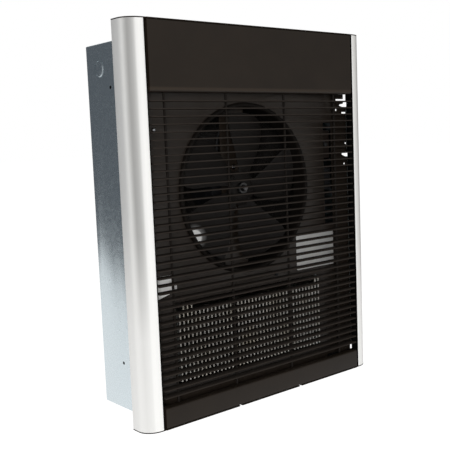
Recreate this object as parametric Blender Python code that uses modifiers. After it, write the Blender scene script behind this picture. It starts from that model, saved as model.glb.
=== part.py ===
"""Recessed fan-forced wall heater, in metres, +Z up.

The origin is the centre of the wall box's back face and the front faces -Y. A depth is written as a height h
above that back face, so h is the world's -Y. Pairs such as (low, high) are spans along one axis.
"""

import math

import bmesh
import bpy
from mathutils import Matrix, Vector

mm = 0.001

# General
gap = 0.3 * mm  # between pieces that touch
cut_over = 2 * mm  # how far a cutter passes its wall
merge = 1 * mm  # how far a boss runs into the solid it is joined to
sheet = 1.2 * mm  # every folded steel sheet
screw_radius = 1.75 * mm
screw_head_radius = 3.6 * mm
screw_head_height = 2.2 * mm
screw_head_flat = 0.6  # the head's flat top, as a share of its radius
screw_head_rim = 0.45  # where its crown starts, as a share of its height

# Wall box
box_width = 366 * mm
box_height = 488 * mm
box_depth = 112 * mm
knockout_radius = 11.1 * mm
knockout_groove = 0.8 * mm
knockout_groove_depth = 0.6 * mm
knockout_height = 32.4 * mm  # of its centre, above the back face
side_knockout_z = 211.1 * mm
end_knockout_x = 95 * mm
nail_hole_radius = 2.2 * mm
upper_nail_height = 57.7 * mm
upper_nail_z = 186 * mm
lower_nail_height = 52.4 * mm
lower_nail_z = -180 * mm
corner_tab = (24 * mm, 12 * mm)  # across and up
panel_tab_width = 20 * mm
side_tab_length = 34 * mm
bottom_tab_length = 10 * mm

# Front cover
cover_side_lap = 28 * mm  # past the box at each side
cover_end_lap = 11.5 * mm  # past the box at the top and at the bottom, before the rise
cover_depth = 33.7 * mm
cover_rise = 6.7 * mm  # the cover's centre above the box's
rail_width = 25.2 * mm
rail_skin = 1.6 * mm
rail_side = 13 * mm  # straight part of the rail's outer side
rail_set_back = 0.9 * mm
rail_flat = 3.1 * mm
rail_step = 5 * mm
rail_leg = 10.5 * mm
rail_foot = 2.6 * mm
shadow_gap = 3.7 * mm  # between a rail and the dark panels
top_panel_height = 88.6 * mm
bottom_panel_height = 27.8 * mm
panel_lip = 10 * mm
side_flange = 18 * mm
flange_relief = 0.6 * mm
cover_screw_x = 57.7 * mm
frame_lip = 14 * mm
notch_width = 4 * mm
notch_height = 2.6 * mm

# Bar grille
bar_pitch = 9.525 * mm
bar_thickness = 1.6 * mm
bar_depth = 14 * mm
first_bar_drop = 10.5 * mm  # from the top panel's edge to the first bar
last_bar_rise = 10 * mm  # least distance from the last bar to the bottom panel
rod_x = (-154.2 * mm, -54.6 * mm, 51.4 * mm, 154.2 * mm)
rod_size = 3 * mm
rod_set_back = 11.6 * mm

# Mounting frame
frame_lap = 4 * mm  # how far it reaches inside the box's outer sides
frame_cuts = {  # at the right, in mm: how far inside the frame's outer edge, and z
    "top_notch": ((8.1, 176.2), (1.6, 176.2), (1.6, 166), (-2, 166), (-2, 156.5), (10, 156.5), (17, 158.2), (17, 160),
                  (8.1, 161.5)),
    "top_slot": ((25, 168.4), (6, 168.4), (6, 165.8), (25, 165.8)),
    "small_slot": ((12.2, 148.6), (2.4, 148.6), (2.4, 146.2), (12.2, 146.2)),
    "lower_notch": ((13.6, 86.2), (-2, 86.2), (-2, 79.7), (5.5, 79.7), (13.6, 82.8)),
    "low_notch": ((4.5, -220.7), (-2, -220.7), (-2, -229.5), (4.5, -229.5)),
}
small_holes = ((24.6 * mm, 151.8 * mm), (4.4 * mm, 100.4 * mm), (8.3 * mm, 68.6 * mm))
small_hole_radius = 1.7 * mm

# Fan panel
panel_set_back = 3.4 * mm  # behind the box's front edge
corner_notch_clear = 2 * mm  # around the box's corner tabs
fan_z = 44.1 * mm
orifice_radius = 112.3 * mm
ring_bead = 3.6 * mm
ring_length = 20.6 * mm
control_slot_side = 5.8 * mm  # from the box's inner side, as every "side" here
control_slot_width = 18 * mm
control_slot_z = (-23.7 * mm, 133.2 * mm)
panel_screw_side = 27.6 * mm
left_screw_z = 128.9 * mm
right_screw_z = 195 * mm
bottom_screw_side = 61.8 * mm
bottom_screw_edge = 5.5 * mm

# Heating element
fin_pitch = 6.78 * mm
fin_thickness = 0.8 * mm
fin_flange = 3.7 * mm
fin_depth = 32 * mm
fin_height = 103.2 * mm
fin_front = 5.2 * mm  # in front of the fan panel's face
element_width = 268.5 * mm
element_z = -153.2 * mm
element_rod_radius = 5.5 * mm
element_rod_offset = 26 * mm
element_opening_clear = 3 * mm
element_bracket_flange = 12 * mm
element_bracket_reach = 6 * mm  # above and below the fins
rod_overhang = 14 * mm
terminal_radius = 4 * mm
terminal_length = 14 * mm
pin_radius = 2 * mm

# Fan and motor
blade_count = 5
blade_tip_radius = 106 * mm
blade_root_radius = 19 * mm
blade_thickness = 1 * mm
blade_half_angle = math.radians(26)
blade_sweep = math.radians(10)
blade_root_rise = 2 * mm
blade_tip_rise = 8.5 * mm
fan_set_back = 14.1 * mm  # of the blades' middle behind the fan panel's face
blade_camber = 0.35  # as a share of the blade's rise
blade_drop = 0.2  # how far its middle lies behind the spider, as a share of the rise
blade_tip_taper = 0.22  # of its width, at the tip
spider_radius = 25 * mm
spider_thickness = 3 * mm
spider_bore_over = 8 * mm  # how far its bore is cut past it, through the blades' roots
hub_radius = 8 * mm
hub_flange_radius = 15 * mm
hub_flange = 2 * mm
hub_reach = (12 * mm, 6.5 * mm)  # behind and ahead of the blades' middle
shaft_radius = 4 * mm
shaft_reach = 11.5 * mm  # ahead of the blades' middle
shaft_clear = 0.6 * mm  # where it runs out through the housing
shaft_float = 0.9 * mm  # from the end bell's floor
motor_radius = 40 * mm
motor_wall = 1.7 * mm
motor_set_back = 16.8 * mm  # of its front behind the blades' middle
motor_length = 49.7 * mm
end_bell_depth = 6 * mm
end_bell_chamfer = 2.5 * mm
motor_boss_radius = 13 * mm
motor_boss = 3.3 * mm
bearing_radius = 9 * mm
bearing_length = 7 * mm
rotor_radius = 22 * mm
rotor_length = 16 * mm
stator_length = 20 * mm
core_middle = 26 * mm  # of the rotor and the stator, from the motor's rear
stator_clearance = 0.6 * mm
strap_width = 44 * mm
strap_thickness = 2 * mm
strap_foot = 12 * mm
strap_clear = 6 * mm  # around the orifice ring
motor_screw_offset = 30 * mm
motor_screw_length = 10 * mm

# Controls
control_depth = 27.1 * mm  # of the channel behind the fan panel
control_side = 2.3 * mm
control_width = 49.5 * mm
control_z = (-45 * mm, 150 * mm)
thermostat_size = (34 * mm, 22 * mm, 44 * mm)
thermostat_z = 100 * mm
thermostat_bush_radius = 5.5 * mm
thermostat_bush = 3.5 * mm
dial_shaft_radius = 3 * mm
dial_shaft_proud = 2.9 * mm  # of the fan panel
dial_shaft_seat = 8 * mm
driver_slot_width = 1.2 * mm
driver_slot_depth = 1.6 * mm
switch_size = (20 * mm, 21 * mm, 34 * mm)
switch_side = 14.8 * mm  # to its middle, as for the relay and the terminal block
switch_z = 47 * mm
rocker_radius = 9 * mm
rocker_width = 11 * mm
rocker_proud = 3.5 * mm
rocker_tilt = math.radians(9)
rocker_pin_radius = 1.5 * mm
rocker_pin = 2 * mm
bezel_rise = 0.6 * mm  # above the pins
cutout_at = (50 * mm, -85.5 * mm)
cutout_radius = 9.5 * mm
cutout_length = 14 * mm
cutout_ear = 30 * mm
cutout_ear_width = 8 * mm
cutout_ear_thickness = 1.6 * mm
button_radius = 2.6 * mm
button_proud = 2.4 * mm
button_collar_radius = 4 * mm
button_collar = 1.6 * mm
button_travel = 1.5 * mm
relay_size = (30 * mm, 26 * mm, 38 * mm)
relay_side = 31.8 * mm
relay_z = -72 * mm
terminal_block_size = (44 * mm, 18 * mm, 20 * mm)
terminal_block_side = 61.8 * mm
terminal_block_z = 200 * mm
lead_radius = 1.4 * mm

# Labels, left blank, and the discharge baffle
plate_side = 7.8 * mm  # of the plate and of the tag
plate_width = 81 * mm
tag_width = 47 * mm
plate_z = (-86.4 * mm, -33.8 * mm)
plate_thickness = 0.5 * mm
tag_z = (-93 * mm, -60 * mm)
tag_slant = 11 * mm
baffle_rise = 26 * mm
baffle_drop = 8 * mm
ground_screw_at = (-60 * mm, 200 * mm)
ground_head_radius = 4.5 * mm

# Worked out from the sizes above. x is half a width, h a height above the back face.
box_half = box_width / 2
box_top = box_height / 2
inner_half = box_half - sheet
inner_top = box_top - sheet
wall_h = box_depth + gap
front_h = wall_h + cover_depth
cover_half = box_half + cover_side_lap
cover_top = cover_rise + box_top + cover_end_lap
cover_bottom = cover_rise - box_top - cover_end_lap
rail_inner = cover_half - rail_width
panel_half = rail_inner - shadow_gap
under_cap = sheet + gap  # from the cover's end to what its end cap covers
top_panel_low = cover_top - top_panel_height
bottom_panel_high = cover_bottom + bottom_panel_height
panel_h = box_depth - panel_set_back
panel_back = panel_h - sheet
panel_width = inner_half - gap
panel_top = inner_top - gap
seat_h = panel_back - gap
blade_height = panel_h - fan_set_back
motor_front = blade_height - motor_set_back
motor_rear = motor_front - motor_length
motor_top = motor_front + motor_boss
hub_height = (blade_height - hub_reach[0], blade_height + hub_reach[1])
shaft_height = (motor_rear + motor_wall + shaft_float, blade_height + shaft_reach)
core_height = motor_rear + core_middle
rotor_height = (core_height - rotor_length / 2, core_height + rotor_length / 2)
stator_height = (core_height - stator_length / 2, core_height + stator_length / 2)
control_plate = seat_h - control_depth
control_front = control_plate + sheet + gap
dial_shaft_front = panel_h + dial_shaft_proud
left_screw = (-inner_half + panel_screw_side, left_screw_z)
right_screw = (inner_half - panel_screw_side, right_screw_z)
bottom_screw_x = inner_half - bottom_screw_side
control_slot_x = (inner_half - control_slot_side - control_slot_width, inner_half - control_slot_side)
control_x = (inner_half - control_side - control_width, inner_half - control_side)
switch_at = (inner_half - switch_side, switch_z)
relay_at = (inner_half - relay_side, relay_z)
terminal_block_at = (inner_half - terminal_block_side, terminal_block_z)
plate_x = (inner_half - plate_side - plate_width, inner_half - plate_side)
tag_x = (-inner_half + plate_side, -inner_half + plate_side + tag_width)
thermostat_at = (control_x[1] - sheet - gap - thermostat_size[0] / 2, thermostat_z)


def material(name, colour, roughness, metallic=0.0):
    """A plain finish in one colour."""
    made = bpy.data.materials.new(name)
    made.use_nodes = True
    shader = made.node_tree.nodes["Principled BSDF"]
    shader.inputs["Base Color"].default_value = (*colour, 1)
    shader.inputs["Roughness"].default_value = roughness
    shader.inputs["Metallic"].default_value = metallic
    made.diffuse_color = (*colour, 1)
    return made


for old in list(bpy.data.objects):
    bpy.data.objects.remove(old, do_unlink=True)

heater = bpy.data.collections.new("recessed_wall_heater")
cutters = bpy.data.collections.new("cutters")
bpy.context.scene.collection.children.link(heater)
bpy.context.scene.collection.children.link(cutters)

galvanised = material("galvanised_steel", (0.55, 0.59, 0.62), 0.4, 0.8)
satin_aluminium = material("satin_aluminium", (0.74, 0.73, 0.72), 0.35, 0.9)
bronze_paint = material("bronze_paint", (0.045, 0.036, 0.031), 0.45)
fan_paint = material("fan_paint", (0.03, 0.03, 0.03), 0.5)
fin_metal = material("fin_metal", (0.72, 0.72, 0.70), 0.4, 0.8)
motor_paint = material("motor_paint", (0.05, 0.05, 0.055), 0.5, 0.2)
zinc = material("zinc_plate", (0.70, 0.71, 0.72), 0.35, 0.9)
iron = material("iron_core", (0.30, 0.30, 0.31), 0.5, 0.8)
black_plastic = material("black_plastic", (0.025, 0.025, 0.027), 0.45)
bakelite = material("brown_moulding", (0.10, 0.05, 0.03), 0.4)
porcelain = material("porcelain", (0.85, 0.83, 0.78), 0.3)
white_card = material("white_card", (0.85, 0.85, 0.84), 0.6)
white_wire = material("white_wire", (0.85, 0.85, 0.83), 0.5)
black_wire = material("black_wire", (0.03, 0.03, 0.03), 0.5)
green_paint = material("green_paint", (0.03, 0.25, 0.08), 0.4)
bronze_bush = material("bronze_bush", (0.45, 0.30, 0.14), 0.4, 0.9)


def place(name, mesh, finish=None):
    """An object for the mesh: a piece of the heater if it has a finish, and a cutter if not."""
    made = bpy.data.objects.new(name, mesh)
    if finish:
        mesh.materials.append(finish)
        heater.objects.link(made)
        return made
    cutters.objects.link(made)
    made.hide_render = True
    made.display_type = "WIRE"
    return made


def block(name, x, h, z, finish=None):
    """A box over a span of x, of height above the back face, and of z."""
    mesh = bpy.data.meshes.new(name)
    shape = bmesh.new()
    bmesh.ops.create_cube(shape, size=1)
    bmesh.ops.scale(shape, vec=(x[1] - x[0], h[1] - h[0], z[1] - z[0]), verts=shape.verts)
    shape.to_mesh(mesh)
    shape.free()
    made = place(name, mesh, finish)
    made.location = ((x[0] + x[1]) / 2, -(h[0] + h[1]) / 2, (z[0] + z[1]) / 2)
    return made


directions = {
    "front": Vector((0, -1, 0)),
    "left": Vector((-1, 0, 0)),
    "right": Vector((1, 0, 0)),
    "up": Vector((0, 0, 1)),
    "down": Vector((0, 0, -1)),
}


def rod(name, radius, span, at, facing, sides, finish=None):
    """A cylinder over a span along the direction it faces, from the point it is placed at."""
    mesh = bpy.data.meshes.new(name)
    shape = bmesh.new()
    bmesh.ops.create_cone(
        shape, cap_ends=True, segments=sides, radius1=radius, radius2=radius, depth=span[1] - span[0]
    )
    bmesh.ops.translate(shape, vec=(0, 0, (span[0] + span[1]) / 2), verts=shape.verts)
    shape.to_mesh(mesh)
    shape.free()
    made = place(name, mesh, finish)
    made.location = at
    made.rotation_euler = directions[facing].to_track_quat("Z", "Y").to_euler()
    if finish:
        mesh.shade_smooth()
        mesh.set_sharp_from_angle(angle=math.radians(35))
    return made


def turned(name, profile, at, facing, steps, finish=None):
    """A profile of (radius, height) points, down its outer side, turned about the direction it faces."""
    closed = profile[0][0] > 0 or profile[-1][0] > 0
    mesh = bpy.data.meshes.new(name)
    links = [(i, i + 1) for i in range(len(profile) - 1)]
    if closed:
        links.append((len(profile) - 1, 0))
    mesh.from_pydata([(radius, 0, height) for radius, height in profile], links, [])
    made = place(name, mesh, finish)
    made.location = at
    made.rotation_euler = directions[facing].to_track_quat("Z", "Y").to_euler()
    screw = made.modifiers.new("turn", "SCREW")
    screw.axis = "Z"
    screw.angle = 2 * math.pi
    screw.steps = steps
    screw.render_steps = steps
    screw.use_merge_vertices = True
    screw.merge_threshold = 0.00001
    screw.use_smooth_shade = False
    return made


planes = {
    "front": Matrix(((1, 0, 0), (0, 0, -1), (0, 1, 0))),
    "side": Matrix(((0, 0, -1), (-1, 0, 0), (0, 1, 0))),
    "plan": Matrix(((1, 0, 0), (0, -1, 0), (0, 0, -1))),
}
across = {"front": directions["front"], "side": directions["right"], "plan": directions["up"]}


def as_mesh(name, curve):
    """The solid of a curve, with its caps joined to its sides and its faces pointing out."""
    guide = bpy.data.objects.new(name + "_guide", curve)
    cutters.objects.link(guide)
    graph = bpy.context.evaluated_depsgraph_get()
    graph.update()
    mesh = bpy.data.meshes.new_from_object(guide.evaluated_get(graph))
    bpy.data.objects.remove(guide, do_unlink=True)
    shape = bmesh.new()
    shape.from_mesh(mesh)
    bmesh.ops.remove_doubles(shape, verts=shape.verts, dist=0.000001)
    bmesh.ops.recalc_face_normals(shape, faces=shape.faces)
    shape.to_mesh(mesh)
    shape.free()
    mesh.name = name
    mesh.materials.clear()
    return mesh


def outline(name, loops, plane, span, finish=None):
    """Flat outlines, the first around the others, made solid over a span.

    The planes are front (x, z) over heights, side (h, z) over x, and plan (x, h) over z.
    """
    curve = bpy.data.curves.new(name, "CURVE")
    curve.dimensions = "2D"
    curve.fill_mode = "BOTH"
    curve.extrude = (span[1] - span[0]) / 2
    for loop in loops:
        spline = curve.splines.new("POLY")
        spline.points.add(len(loop) - 1)
        for point, (first, second) in zip(spline.points, loop):
            point.co = (first, second, 0, 1)
        spline.use_cyclic_u = True
    made = place(name, as_mesh(name, curve), finish)
    made.rotation_euler = planes[plane].to_euler()
    made.location = across[plane] * ((span[0] + span[1]) / 2)
    return made


def tube(name, points, radius, sides, finish=None, smooth=True):
    """A round wire or rod along points, eased into one curve where smooth."""
    curve = bpy.data.curves.new(name, "CURVE")
    curve.dimensions = "3D"
    curve.bevel_depth = radius
    curve.bevel_resolution = sides // 2 - 2
    curve.use_fill_caps = True
    path = eased(points) if smooth else [Vector(point) for point in points]
    spline = curve.splines.new("POLY")
    spline.points.add(len(path) - 1)
    for point, place_of in zip(spline.points, path):
        point.co = (*place_of, 1)
    return place(name, as_mesh(name, curve), finish)


def eased(points, steps=4):
    """Points on a Catmull-Rom curve through the given ones, whose first and last runs stay straight."""
    given = [Vector(point) for point in points]
    path = [given[0]]
    for before, start, end, after in zip(given, given[1:], given[2:], given[3:]):
        for step in range(steps):
            t = step / steps
            path.append(
                0.5
                * (
                    2 * start
                    + (end - before) * t
                    + (2 * before - 5 * start + 4 * end - after) * t * t
                    + (3 * start - before - 3 * end + after) * t * t * t
                )
            )
    return path + given[-2:]


def combine(target, operation, *others):
    for other in others:
        step = target.modifiers.new(operation.lower(), "BOOLEAN")
        step.operation = operation
        step.solver = "EXACT"
        step.object = other
    return target


def cut(target, *others):
    return combine(target, "DIFFERENCE", *others)


def join(target, *others):
    return combine(target, "UNION", *others)


def rectangle(first, second):
    return [
        (first[0], second[0]),
        (first[1], second[0]),
        (first[1], second[1]),
        (first[0], second[1]),
    ]


def circle(centre, radius, sides):
    return [
        (
            centre[0] + radius * math.cos(2 * math.pi * i / sides),
            centre[1] + radius * math.sin(2 * math.pi * i / sides),
        )
        for i in range(sides)
    ]


def arc(centre, radii, start, end, steps):
    """Points on an ellipse from one angle to another, in degrees."""
    angles = [math.radians(start + (end - start) * i / steps) for i in range(steps + 1)]
    return [(centre[0] + radii[0] * math.cos(a), centre[1] + radii[1] * math.sin(a)) for a in angles]


def screw(name, at, facing, shank, finish, head=screw_head_radius, radius=screw_radius):
    """A pan head screw: its head stands on the point it is placed at, and its shank goes back from it."""
    profile = [
        (0, screw_head_height),
        (head * screw_head_flat, screw_head_height),
        (head, screw_head_height * screw_head_rim),
        (head, gap),
        (radius, gap),
        (radius, -shank),
        (0, -shank),
    ]
    return turned(name, profile, at, facing, 10, finish)


def wall_box():
    """The folded box: an open shell with grooved knockouts, nail holes and the tabs that carry the rest."""
    mesh = bpy.data.meshes.new("wall_box")
    shape = bmesh.new()
    bmesh.ops.create_cube(shape, size=1)
    bmesh.ops.scale(shape, vec=(box_width, box_depth, box_height), verts=shape.verts)
    bmesh.ops.translate(shape, vec=(0, -box_depth / 2, 0), verts=shape.verts)
    front = [face for face in shape.faces if face.normal.y < -0.5]
    bmesh.ops.delete(shape, geom=front, context="FACES_ONLY")
    shape.to_mesh(mesh)
    shape.free()
    box = place("wall_box", mesh, galvanised)
    wall = box.modifiers.new("wall", "SOLIDIFY")
    wall.thickness = sheet
    wall.offset = -1
    wall.use_even_offset = True

    overlap = sheet / 2
    tab_h = (panel_back - gap - sheet, panel_back - gap)
    corner_h = (box_depth - sheet, box_depth)
    for side in (-1, 1):
        for end in (-1, 1):
            x = sorted((side * (inner_half + overlap), side * (inner_half - corner_tab[0])))
            z = sorted((end * (inner_top + overlap), end * (inner_top - corner_tab[1])))
            tab = block("corner_tab", x, corner_h, z)
            hole = rod("tab_hole", screw_radius + gap, (box_depth - cut_over - sheet, box_depth + cut_over),
                       frame_screw_at(side, end), "front", 12)
            join(box, tab)
            cut(box, hole)
    for side, at in ((-1, left_screw), (1, right_screw)):
        x = sorted((side * (inner_half + overlap), side * (inner_half - side_tab_length)))
        z = (at[1] - panel_tab_width / 2, at[1] + panel_tab_width / 2)
        join(box, block("panel_tab", x, tab_h, z))
    for side in (-1, 1):
        x = (side * bottom_screw_x - panel_tab_width / 2, side * bottom_screw_x + panel_tab_width / 2)
        z = (-inner_top - overlap, -inner_top + bottom_tab_length + bottom_screw_edge)
        join(box, block("panel_tab", x, tab_h, z))
    for at in panel_screws():
        cut(box, rod("tab_hole", screw_radius + gap, (tab_h[0] - cut_over, tab_h[1] + cut_over),
                     (at[0], 0, at[1]), "front", 12))

    for direction, at in knockouts():
        ring = [
            (knockout_radius, cut_over),
            (knockout_radius, -knockout_groove_depth),
            (knockout_radius - knockout_groove, -knockout_groove_depth),
            (knockout_radius - knockout_groove, cut_over),
        ]
        cut(box, turned("knockout_groove", ring, at, direction, 20))
    for height, z in ((upper_nail_height, upper_nail_z), (lower_nail_height, lower_nail_z)):
        cut(box, rod("nail_hole", nail_hole_radius, (-box_half - cut_over, box_half + cut_over),
                     (0, -height, z), "right", 12))
    cut(box, rod("ground_hole", screw_radius + gap, (-cut_over, sheet + cut_over),
                 (ground_screw_at[0], 0, ground_screw_at[1]), "front", 12))
    return box


def knockouts():
    """Where a conduit can enter: one high on each side, one in the top and one in the bottom."""
    return (
        ("left", (-box_half, -knockout_height, side_knockout_z)),
        ("right", (box_half, -knockout_height, side_knockout_z)),
        ("up", (end_knockout_x, -knockout_height, box_top)),
        ("down", (end_knockout_x, -knockout_height, -box_top)),
    )


def frame_screw_at(side, end):
    return (side * (inner_half - corner_tab[0] / 2), 0, end * (inner_top - corner_tab[1] / 2))


def panel_screws():
    bottom = -panel_top + bottom_screw_edge
    return (left_screw, right_screw, (-bottom_screw_x, bottom), (bottom_screw_x, bottom))


def side_rail(name, side):
    """An aluminium extrusion: a bowed skin with a foot on the wall and a stepped leg beside the panels."""
    bow_at, bow, face = rail_bow()
    leg_x = panel_half + gap
    step_h = front_h - rail_step
    skin = rail_skin
    section = [(cover_half, wall_h)]
    section += arc(bow_at, bow, 0, 90, 10)
    section += [
        (rail_inner, face),
        (rail_inner, step_h),
        (leg_x, step_h),
        (leg_x, front_h - rail_leg),
        (leg_x + skin, front_h - rail_leg),
        (leg_x + skin, step_h - skin),
        (rail_inner + skin, step_h - skin),
        (rail_inner + skin, face - skin),
    ]
    section += arc(bow_at, (bow[0] - skin, bow[1] - skin), 90, 0, 10)
    section += [
        (cover_half - skin, wall_h + skin),
        (cover_half - rail_foot, wall_h + skin),
        (cover_half - rail_foot, wall_h),
    ]
    section = [(side * x, h) for x, h in section]
    span = (cover_bottom + under_cap, cover_top - under_cap)
    return outline(name, [section], "plan", span, satin_aluminium)


def rail_bow():
    """The centre and radii of the rail's bowed face, and the height of its flat front."""
    face = front_h - rail_set_back
    centre = (rail_inner + rail_flat, wall_h + rail_side)
    return centre, (rail_width - rail_flat, face - centre[1]), face


def end_cap(name, edge, inward):
    """The plate across one end of the cover, which closes both rails."""
    bow_at, bow, face = rail_bow()
    half = [(cover_half, wall_h)] + arc(bow_at, bow, 0, 90, 10) + [(panel_half, face), (panel_half, front_h)]
    around = half + [(-x, h) for x, h in reversed(half)]
    cap = outline(name, [around], "plan", sorted((edge, edge + inward * sheet)), bronze_paint)
    return cut(cap, *cover_screw_holes((edge - cut_over, edge + cut_over)))


def cover_screw_holes(span):
    at = [(side * cover_screw_x, -cover_screw_h(), 0) for side in (-1, 1)]
    return [rod("screw_hole", screw_radius + gap, span, place_of, "up", 12) for place_of in at]


def dark_panel(name, edge, inner):
    """A pan of painted sheet from under its end cap to a lip that turns back beside the grille."""
    inward = math.copysign(1, inner - edge)
    thick = inward * sheet
    section = [
        (wall_h, edge),
        (front_h, edge),
        (front_h, inner),
        (front_h - panel_lip, inner),
        (front_h - panel_lip, inner - thick),
        (front_h - sheet, inner - thick),
        (front_h - sheet, edge + thick),
        (wall_h, edge + thick),
    ]
    panel = outline(name, [section], "side", (-panel_half, panel_half), bronze_paint)
    relief = inward * (sheet + flange_relief)
    z = sorted((edge + relief, inner - relief))
    for side in (-1, 1):
        x = sorted((side * panel_half, side * (panel_half - sheet)))
        join(panel, block("side_flange", x, (front_h - side_flange, front_h - sheet / 2), z))
    return cut(panel, *cover_screw_holes(sorted((edge - thick, edge + 2 * thick))))


def cover_screw_h():
    return wall_h + frame_lip / 2


def front_cover():
    side_rail("left_rail", -1)
    side_rail("right_rail", 1)
    end_cap("top_cap", cover_top, -1)
    bottom_cap = end_cap("bottom_cap", cover_bottom, 1)
    dark_panel("top_panel", cover_top - under_cap, top_panel_low)
    bottom = dark_panel("bottom_panel", cover_bottom + under_cap, bottom_panel_high)
    for side in (-1, 1):
        x = (side * cover_screw_x - notch_width / 2, side * cover_screw_x + notch_width / 2)
        notch = block("edge_notch", x, (front_h - panel_lip, front_h + cut_over),
                      (cover_bottom - cut_over, cover_bottom + notch_height))
        cut(bottom, notch)
        cut(bottom_cap, notch)
    shank = 3 * sheet + 2 * gap + cut_over
    for side, word in ((-1, "left"), (1, "right")):
        at = (side * cover_screw_x, -cover_screw_h())
        screw("cover_screw_top_" + word, (*at, cover_top), "up", shank, zinc)
        screw("cover_screw_bottom_" + word, (*at, cover_bottom), "down", shank, zinc)


def bar_grille():
    """Flat bars welded to four upright rods."""
    field = top_panel_low - bottom_panel_high - first_bar_drop - last_bar_rise
    count = int(field / bar_pitch + 0.001) + 1
    first_z = top_panel_low - first_bar_drop
    bars = block("bar_grille", (-panel_half, panel_half), (front_h - bar_depth, front_h),
                 (first_z - bar_thickness / 2, first_z + bar_thickness / 2), bronze_paint)
    repeat(bars, count, (0, 0, -bar_pitch))
    rod_h = front_h - rod_set_back
    for x in rod_x:
        rod_piece = block("grille_rod", (x - rod_size / 2, x + rod_size / 2), (rod_h - rod_size / 2, rod_h + rod_size / 2),
                          (bottom_panel_high + gap, top_panel_low - gap))
        join(bars, rod_piece)


def repeat(target, count, step):
    array = target.modifiers.new("repeat", "ARRAY")
    array.count = count
    array.use_relative_offset = False
    array.use_constant_offset = True
    array.constant_offset_displace = step


def mounting_frame():
    """The dark frame behind the cover, which bears on the wall and on the box's front edge."""
    ear = cover_half - rail_foot - gap
    top = cover_top - 2 * under_cap
    bottom = cover_bottom + 2 * under_cap
    outer = rectangle((-ear, ear), (bottom, top))
    x = box_half - frame_lap
    z = box_top - frame_lap
    gusset_x = inner_half - corner_tab[0]
    gusset_z = inner_top - corner_tab[1]
    inner = []
    for side, end in ((1, -1), (1, 1), (-1, 1), (-1, -1)):
        corner = [(gusset_x, z), (gusset_x, gusset_z), (x, gusset_z)]
        if side * end > 0:
            corner.reverse()
        inner += [(side * a, end * b) for a, b in corner]
    h = (wall_h, wall_h + sheet)
    frame = outline("mounting_frame", [outer, inner], "front", h, bronze_paint)
    overlap = sheet / 2
    lips = []
    for edge, inward in ((top, -1), (bottom, 1)):
        span = sorted((edge, edge + inward * sheet))
        lip_h = (wall_h + overlap, wall_h + frame_lip)
        lips.append(block("frame_lip", (-panel_half, panel_half), lip_h, span))
    join(frame, *lips)
    through = (h[0] - cut_over, h[1] + cut_over)
    for side in (-1, 1):
        for end in (-1, 1):
            at = frame_screw_at(side, end)
            cut(frame, rod("frame_hole", screw_radius + gap, through, at, "front", 12))
        cut(frame, rod("lip_hole", screw_radius + gap, (bottom - cut_over, top + cut_over),
                       (side * cover_screw_x, -cover_screw_h(), 0), "up", 12))
    for name, corners in frame_cuts.items():
        loop = [(ear - inset * mm, level * mm) for inset, level in corners]
        cut(frame, outline(name, [loop], "front", through))
    for inset, level in small_holes:
        cut(frame, rod("small_hole", small_hole_radius, through, (ear - inset, 0, level), "front", 10))
    shank = sheet + gap + sheet + cut_over
    for side, word in ((-1, "left"), (1, "right")):
        for end, level in ((1, "upper"), (-1, "lower")):
            at = Vector(frame_screw_at(side, end)) + directions["front"] * h[1]
            screw("frame_screw_" + level + "_" + word, at, "front", shank, zinc)


def fan_panel():
    """The painted partition: corner notches, the orifice, the element opening and the control slot."""
    x = panel_width
    z = panel_top
    notch_x = inner_half - corner_tab[0] - corner_notch_clear
    notch_z = inner_top - corner_tab[1] - corner_notch_clear
    outer = []
    for side, end in ((1, -1), (1, 1), (-1, 1), (-1, -1)):
        corner = [(notch_x, z), (notch_x, notch_z), (x, notch_z)]
        if side * end > 0:
            corner.reverse()
        outer += [(side * a, end * b) for a, b in corner]
    opening_x = element_half() + element_opening_clear
    opening_z = fin_height / 2 + element_opening_clear
    loops = [
        outer,
        circle((0, fan_z), orifice_radius + sheet + gap, 48),
        rectangle((-opening_x, opening_x), (element_z - opening_z, element_z + opening_z)),
        rectangle(control_slot_x, control_slot_z),
        circle(cutout_at, button_radius + gap, 12),
    ]
    loops += [circle(at, screw_radius + gap, 12) for at in panel_screws()]
    outline("fan_panel", loops, "front", (panel_back, panel_h), bronze_paint)
    names = ("upper_left", "upper_right", "lower_left", "lower_right")
    shank = 2 * sheet + gap + cut_over
    for name, at in zip(names, panel_screws()):
        screw("panel_screw_" + name, (at[0], -panel_h, at[1]), "front", shank, zinc)


def orifice_ring():
    seat = panel_h + gap
    centre = (orifice_radius + ring_bead, seat)
    bead = (ring_bead, ring_bead)
    profile = arc(centre, bead, 90, 0, 2)
    profile += [
        (orifice_radius + sheet, seat),
        (orifice_radius + sheet, seat - ring_length),
        (orifice_radius, seat - ring_length),
    ]
    profile += arc(centre, bead, 180, 90, 2)[:-1]
    turned("orifice_ring", profile, (0, 0, fan_z), "front", 48, bronze_paint)


def element_half():
    """Half the width over the fins."""
    return (fin_count() - 1) * fin_pitch / 2 + fin_flange / 2


def fin_count():
    return int((element_width - fin_flange) / fin_pitch) + 1


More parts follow.
